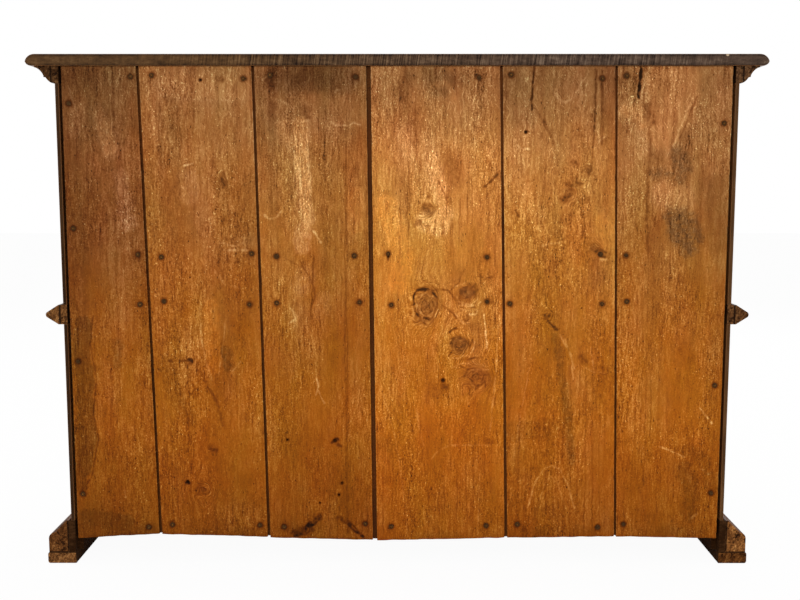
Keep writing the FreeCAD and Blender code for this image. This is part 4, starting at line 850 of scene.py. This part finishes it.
def plank(number):
    name = "back_board_%d" % number
    low_foot, high_foot, low_head, high_head = (Vector(c) for c in plank_corners(name, True))
    lap = sum(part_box(name)[end].y for end in (0, 1)) / 2
    wide, tall = (high_head - low_head).length, (high_head - high_foot).length
    bm = bmesh.new()
    cells = {"x_segments": round(wide / CELL_WIDE), "y_segments": round(tall / CELL_TALL)}
    grid = bmesh.ops.create_grid(bm, size=0.5, **cells)["verts"]
    share = np.array([v.co.x for v in grid]) + 0.5
    rise = np.array([v.co.y for v in grid]) + 0.5
    corner = [np.array(c) * 1000 for c in (high_foot, low_foot, high_head, low_head)]
    foot = corner[0][None] * (1 - share)[:, None] + corner[1][None] * share[:, None]
    head = corner[2][None] * (1 - share)[:, None] + corner[3][None] * share[:, None]
    flat = foot * (1 - rise)[:, None] + head * rise[:, None]
    x, z = flat[:, 0], flat[:, 2]
    relief, across, upward, (worn, stain, grey, soot), tone = plank_marks(x, z, number)
    points = list(zip(x, z))

    def along_edges(size, seed, other_edge):
        """Unevenness up the two long edges, different on each."""
        return wobble([(0.0 if s < 0.5 else other_edge, b) for s, (_, b) in zip(share, points)], size, seed)

    slow, broad = wobble(points, 34.0, 3.1 * number), wobble(points, 150.0, 7.7 * number)
    quick = wobble([(a * 2.0, b * 0.35) for a, b in points], 9.0, 5.3 * number)
    relief += 0.22 * slow + 0.45 * broad + 0.10 * quick
    edge = np.minimum(share, 1 - share) * wide * 1000
    end = rise * tall * 1000
    nick = np.clip(along_edges(11.0, 2.9 * number, 90.0) - 0.1, 0, 1)
    round_off = np.clip(1 - edge / (2.5 + 5.0 * nick), 0, 1) ** 2
    relief -= (0.9 + 3.0 * nick) * round_off + 0.8 * np.clip(1 - end / 3.0, 0, 1) ** 2
    worn = np.maximum(worn, (0.12 + 0.5 * nick) * np.clip(1 - edge / (2.2 + 3.5 * nick), 0, 1))
    stain = np.maximum(stain, 0.30 * np.clip(1 - end / 9.0, 0, 1))
    inward = np.where(share < 0.5, -1.0, 1.0) * (1 - np.clip(edge / 6.0, 0, 1))
    x = x + inward * (0.5 * along_edges(60.0, number, 50.0) + 0.5 * nick)
    z = z + (1 - np.clip(end / 6.0, 0, 1)) * 1.1 * wobble([(a, 0.0) for a, _ in points], 26.0, 9.1 * number)
    for v, px, pz, py in zip(grid, x, z, relief):
        v.co = (px / 1000, low_foot.y + min(py, PROUD) / 1000, pz / 1000)
    plank_body(bm, name, lap)
    piece = new_piece(name + "_worn", bm, [plank_finish])
    mesh = piece.data
    count, kept = len(mesh.vertices), len(grid)
    place = np.zeros(count * 3)
    mesh.vertices.foreach_get("co", place)
    place = place.reshape(-1, 3)
    run = np.stack([place[:, 0], place[:, 2], np.full(count, 3.7 * number)], 1)
    run[:kept, 0], run[:kept, 1] = across / 1000, upward / 1000
    weather_and_shade = np.zeros((count, 4))
    weather_and_shade[:, 2] = 0.6
    weather_and_shade[:kept] = np.stack([worn, stain, grey, soot], 1)
    # The walls down to the lap get a near-black stain: painted shade in the seams between planks.
    weather_and_shade[kept:, 1] = np.where(place[kept:, 1] > lap - 0.001, 0.85, 0.1)
    shade = np.full((count, 3), 0.8 * PLANK_TONES[number - 1][0])
    shade[:kept] = tone
    layers = (("grain_run", "vector", run), ("weather_and_shade", "color", weather_and_shade), ("tone", "vector", shade))
    for layer, field, values in layers:
        kept_layer = mesh.attributes.new(layer, "FLOAT_" + field.upper(), "POINT")
        kept_layer.data.foreach_set(field, values.ravel())
    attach(piece, "case")
    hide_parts(name)


for number in range(1, 7):
    plank(number)


# Nails: forged by hand and driven just proud of the planks. Each head is hammered into a few uneven facets, dark
# with rust, and on most crowns a brighter centre: partly rubbed iron, partly a painted highlight.
def iron(name, rust):
    finish, tree = new_finish(name)
    spot = places(tree)
    scale = cloudy(spot, (260.0, 260.0, 260.0), 4.0, 0.65)
    grain = cloudy(spot, (900.0, 900.0, 900.0), 3.0, 0.7)
    tone = plus(times(scale, 0.8), grain, 0.4)
    skin = ((0.35, (0.012 + rust / 10, 0.007, 0.004)), (0.6, (0.026 + rust / 3, 0.016 + rust / 9, 0.008)),
            (0.85, (0.036 + rust, 0.022 + rust / 2.5, 0.012 + rust / 12)))
    rough = between(scale, 0.3, 0.7, 0.50, 0.80)
    return lay(finish, shades(tone, skin), rough, 0.03, tone, 0.6, 0.0006)


rusty_iron, rubbed_iron_with_painted_glint = iron("rusty_iron", 0.10), iron("rubbed_iron_with_painted_glint", 0.34)
NAIL_SEAT = 0.2588  # where the heads start, a little inside the planks' face
HEAD_RADII, HEAD_HEIGHT = (0.0042, 0.0056), 0.0018
HEAD_STEPS = ((0.35, 0.0005), (0.30, 0.0004))  # facets: their share of the radius and their rise
BRIGHT_CROWN_SHARE = 0.7
random.seed(11)
bm = bmesh.new()
for spot in nail_spots:
    wide = random.uniform(*HEAD_RADII)
    disc = bmesh.ops.create_circle(bm, cap_ends=True, segments=9, radius=wide)["verts"]
    face = list({f for v in disc for f in v.link_faces})
    rim = bmesh.ops.extrude_face_region(bm, geom=face)["geom"]
    top = [g for g in rim if isinstance(g, bmesh.types.BMFace)]
    bmesh.ops.translate(bm, vec=(0, 0, HEAD_HEIGHT), verts=top[0].verts)
    for step, rise in HEAD_STEPS:
        bmesh.ops.inset_region(bm, faces=top, thickness=wide * step, depth=rise)
    # Most crowns get the brighter iron: partly rubbed, partly a painted highlight.
    top[0].material_index = int(random.random() < BRIGHT_CROWN_SHARE)
    head = set(disc)
    todo = list(disc)
    while todo:
        v = todo.pop()
        for e in v.link_edges:
            other = e.other_vert(v)
            if other not in head:
                head.add(other)
                todo.append(other)
    tilt = random.uniform(-0.06, 0.06)
    for v in head:
        x, y, z = v.co
        hammer = 1 + 0.10 * noise.noise((x * 300 + spot.x * 90, y * 300, spot.z * 70))
        v.co = Vector((spot.x + x * hammer, NAIL_SEAT + z + tilt * x, spot.z + y * hammer))
bmesh.ops.recalc_face_normals(bm, faces=bm.faces)
piece = new_piece("nail_heads", bm, [rusty_iron, rubbed_iron_with_painted_glint])
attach(piece, "case")
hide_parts("back_nails")


# Top: one thick walnut board with a rounded nose on three sides. Its rear edge is left as it came from the saw,
# grey-brown and ribbed with upright saw strokes.
TOP_MIDDLE = 1.0925  # half way up the top's edge
CHIP = (-0.6905, 0.264, 1.1035)  # a pale chip near one end
NOSE_END = 0.95  # faces of the rounded nose that look this far sideways are end grain


def sawn_edge(name):
    finish, tree = new_finish(name)
    spot = places(tree)
    across, _, up = node(tree, "SeparateXYZ", {0: spot}).outputs
    leaning = mapped(spot, turn=(0, 8, 0))
    strokes = cloudy(leaning, (430.0, 1.0, 12.0), 2.0, 0.6)
    patches = cloudy(spot, (40.0, 40.0, 90.0), 5.0, 0.7)
    sawn = times(between(across, 0.52, 0.30), between(across, -0.72, -0.55))
    tone = times(less(strokes, 0.5), between(sawn, 0.0, 1.0, 0.25, 1.45))
    tone = plus(less(tone, 0.05), patches, 1.05)
    rim = between(apart(up, TOP_MIDDLE), 0.006, 0.0115, 0.0, 0.26)
    tone = less(tone, rim)
    warm = ((0.12, (0.016, 0.007, 0.003)), (0.5, (0.098, 0.047, 0.017)), (0.8, (0.20, 0.110, 0.045)))
    grey = ((0.12, (0.016, 0.009, 0.006)), (0.5, (0.086, 0.052, 0.034)), (0.8, (0.20, 0.135, 0.09)))
    colour = mixed(between(across, 0.35, -0.35), shades(tone, warm), shades(tone, grey))
    chip = node(tree, "VectorMath", {0: spot, 1: CHIP}, operation="DISTANCE").outputs["Value"]
    colour = mixed(between(chip, 0.0022, 0.0040, 0.9, 0.0), colour, (0.62, 0.46, 0.30, 1.0))
    return lay(finish, colour, 0.85, 0.1, tone, 0.6, 0.0012)


top_face = walnut("walnut_top", "X", (0.24, 0.55, 0.9), 0.02, 0.36)
dress("top_board", "walnut", [top_face, walnut_ends, sawn_edge("sawn_rear_edge")],
      lambda face: 2 if face.normal.y > SQUARE else int(abs(face.normal.x) > NOSE_END))


# Doors: framed walnut, two above the drawers and two below the waist. The rails are tenoned between the stiles,
# and a mitred bead runs round each raised panel.
STILE = 0.0715  # width of a door's stile
DOORS = [(level, side) for level in ("upper", "lower") for side in ("left", "right")]
door_panels = walnut("walnut_door_panel", "Z", (0.36, 0.20, 0.1), 0.03, 0.36, 0.09)


def door_grain(low, high):
    """Rails lie between the stiles and run across, stiles run up."""
    def choose(face):
        if low.x + STILE < face.center.x < high.x - STILE:
            return 1
        return 2 if abs(face.normal.z) > SQUARE else 0
    return choose


def bead_grain(low, high):
    """A bead runs across at head and foot and up at the sides, parted at the mitres."""
    middle, reach = (low + high) / 2, (high - low) / 2

    def choose(face):
        beyond = face.center - middle
        return int(abs(beyond.z) - reach.z > abs(beyond.x) - reach.x)
    return choose


for level, side in DOORS:
    door = "%s_door_%%s_%s" % (level, side)
    frame_name, bead_name = door % "frame", door % "bead"
    dress(frame_name, "walnut", [upright, crosswise, walnut_ends], door_grain(*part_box(frame_name)))
    stick(door % "panel", "Z", door_panels)
    dress(bead_name, "walnut", [upright, crosswise], bead_grain(*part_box(bead_name)))


# Hinges and knobs: butt hinges of blackened iron, two to a door, and turned brass knobs, tarnished brown in
# patches and brighter between them.
def brass(name):
    finish, tree = new_finish(name)
    spot = places(tree)
    tarnish = cloudy(spot, (90.0, 90.0, 90.0), 4.0, 0.6)
    fine = cloudy(spot, (700.0, 700.0, 700.0), 2.0, 0.6)
    skin = ((0.3, (0.10, 0.055, 0.016)), (0.55, (0.36, 0.22, 0.062)), (0.8, (0.60, 0.40, 0.13)))
    tree.nodes["Principled BSDF"].inputs["Metallic"].default_value = 1.0
    polish = between(tarnish, 0.3, 0.7, 0.52, 0.26)
    return lay(finish, shades(tarnish, skin), polish, 0.5, fine, 0.15, 0.0004)


old_brass = brass("old_brass")
black_iron = iron("black_iron", 0.02)
dress("hinge_frame_leaves", "iron", [black_iron])
for level, side in DOORS:
    dress("%s_door_hinge_leaves_%s" % (level, side), "iron", [black_iron])
    dress("%s_door_knob_%s" % (level, side), "brass", [old_brass])


# Drawers: two shallow ones side by side above the waist. Their fronts are walnut with a bevelled field, their boxes
# poplar with the base grooved in.
BOX_BACK = 0.15  # faces behind this belong to the box's back, whose grain runs across
for side in ("left", "right"):
    stick("drawer_front_" + side, "X", crosswise)
    dress("drawer_box_" + side, "inner_wood", [inner_lengthwise, inner_crosswise],
          lambda face: int(face.center.y > BOX_BACK))
    stick("drawer_base_" + side, "X", inner_crosswise, "inner_wood")
    dress("drawer_knobs_" + side, "brass", [old_brass])


# Studio: a pale floor, an even white room and broad soft lamps all round. The camera stands behind the credenza,
# where its back is seen.
def seen(tree):
    """One for rays that look at the studio itself, nought for those that bring light."""
    rays = node(tree, "LightPath").outputs
    mirrored = sums("MAXIMUM", rays["Is Glossy Ray"], rays["Is Transmission Ray"])
    return sums("MAXIMUM", rays["Is Camera Ray"], mirrored)


WHITE = (1, 1, 1, 1)
FLOOR_HALF = 14.0
FLOOR_GLOW = 0.955  # how far the floor is seen as white as the room
ROOM_LIGHT = 0.50
AIM = Vector((0, 0, 0.55))  # all lamps look here

pale, tree = new_finish("pale_floor")
shader = tree.nodes["Principled BSDF"]
shader.inputs["Base Color"].default_value = WHITE
shader.inputs["Roughness"].default_value = 0.9
glow = node(tree, "Emission", {0: WHITE, 1: 1.0})
share = times(seen(tree), FLOOR_GLOW)
floor_mix = node(tree, "MixShader", {0: share, 1: shader.outputs[0], 2: glow.outputs[0]})
tree.links.new(floor_mix.outputs[0], tree.nodes["Material Output"].inputs["Surface"])
bm = bmesh.new()
bmesh.ops.create_grid(bm, x_segments=4, y_segments=4, size=FLOOR_HALF)
floor = new_piece("studio_floor", bm, [pale])

world = bpy.data.worlds.new("studio")
bpy.context.scene.world = world
world.use_nodes = True
tree = world.node_tree
white = node(tree, "Background", {0: WHITE, 1: 1.0})
ambient = tree.nodes["Background"]
ambient.inputs[0].default_value = WHITE
ambient.inputs[1].default_value = ROOM_LIGHT
blend_sky = node(tree, "MixShader", {0: seen(tree), 1: ambient.outputs[0], 2: white.outputs[0]})
tree.links.new(blend_sky.outputs[0], tree.nodes["World Output"].inputs["Surface"])


def softbox(name, spot, power, size):
    lamp = bpy.data.lights.new(name, "AREA")
    lamp.energy = power
    lamp.size = size
    stand = bpy.data.objects.new(name, lamp)
    stand.location = spot
    stand.rotation_euler = (AIM - Vector(spot)).to_track_quat("-Z", "Y").to_euler()
    bpy.context.scene.collection.objects.link(stand)


softbox("lamp_behind", (0.4, 3.6, 2.3), 52, 2.4)
softbox("lamp_front", (-0.6, -3.6, 2.4), 52, 2.4)
softbox("lamp_right", (3.6, -0.3, 1.9), 30, 2.0)
softbox("lamp_left", (-3.6, 0.3, 1.9), 30, 2.0)

lens = bpy.data.cameras.new("camera")
lens.sensor_width = 36.0
lens.lens = 46.35
camera = bpy.data.objects.new("camera", lens)
camera.location = (-0.00785, 2.45997, 0.84338)
camera.rotation_euler = (math.radians(90 - 6.649), 0.0, math.radians(180.043))
bpy.context.scene.collection.objects.link(camera)
bpy.context.scene.camera = camera
bpy.context.scene.view_settings.view_transform = "Standard"
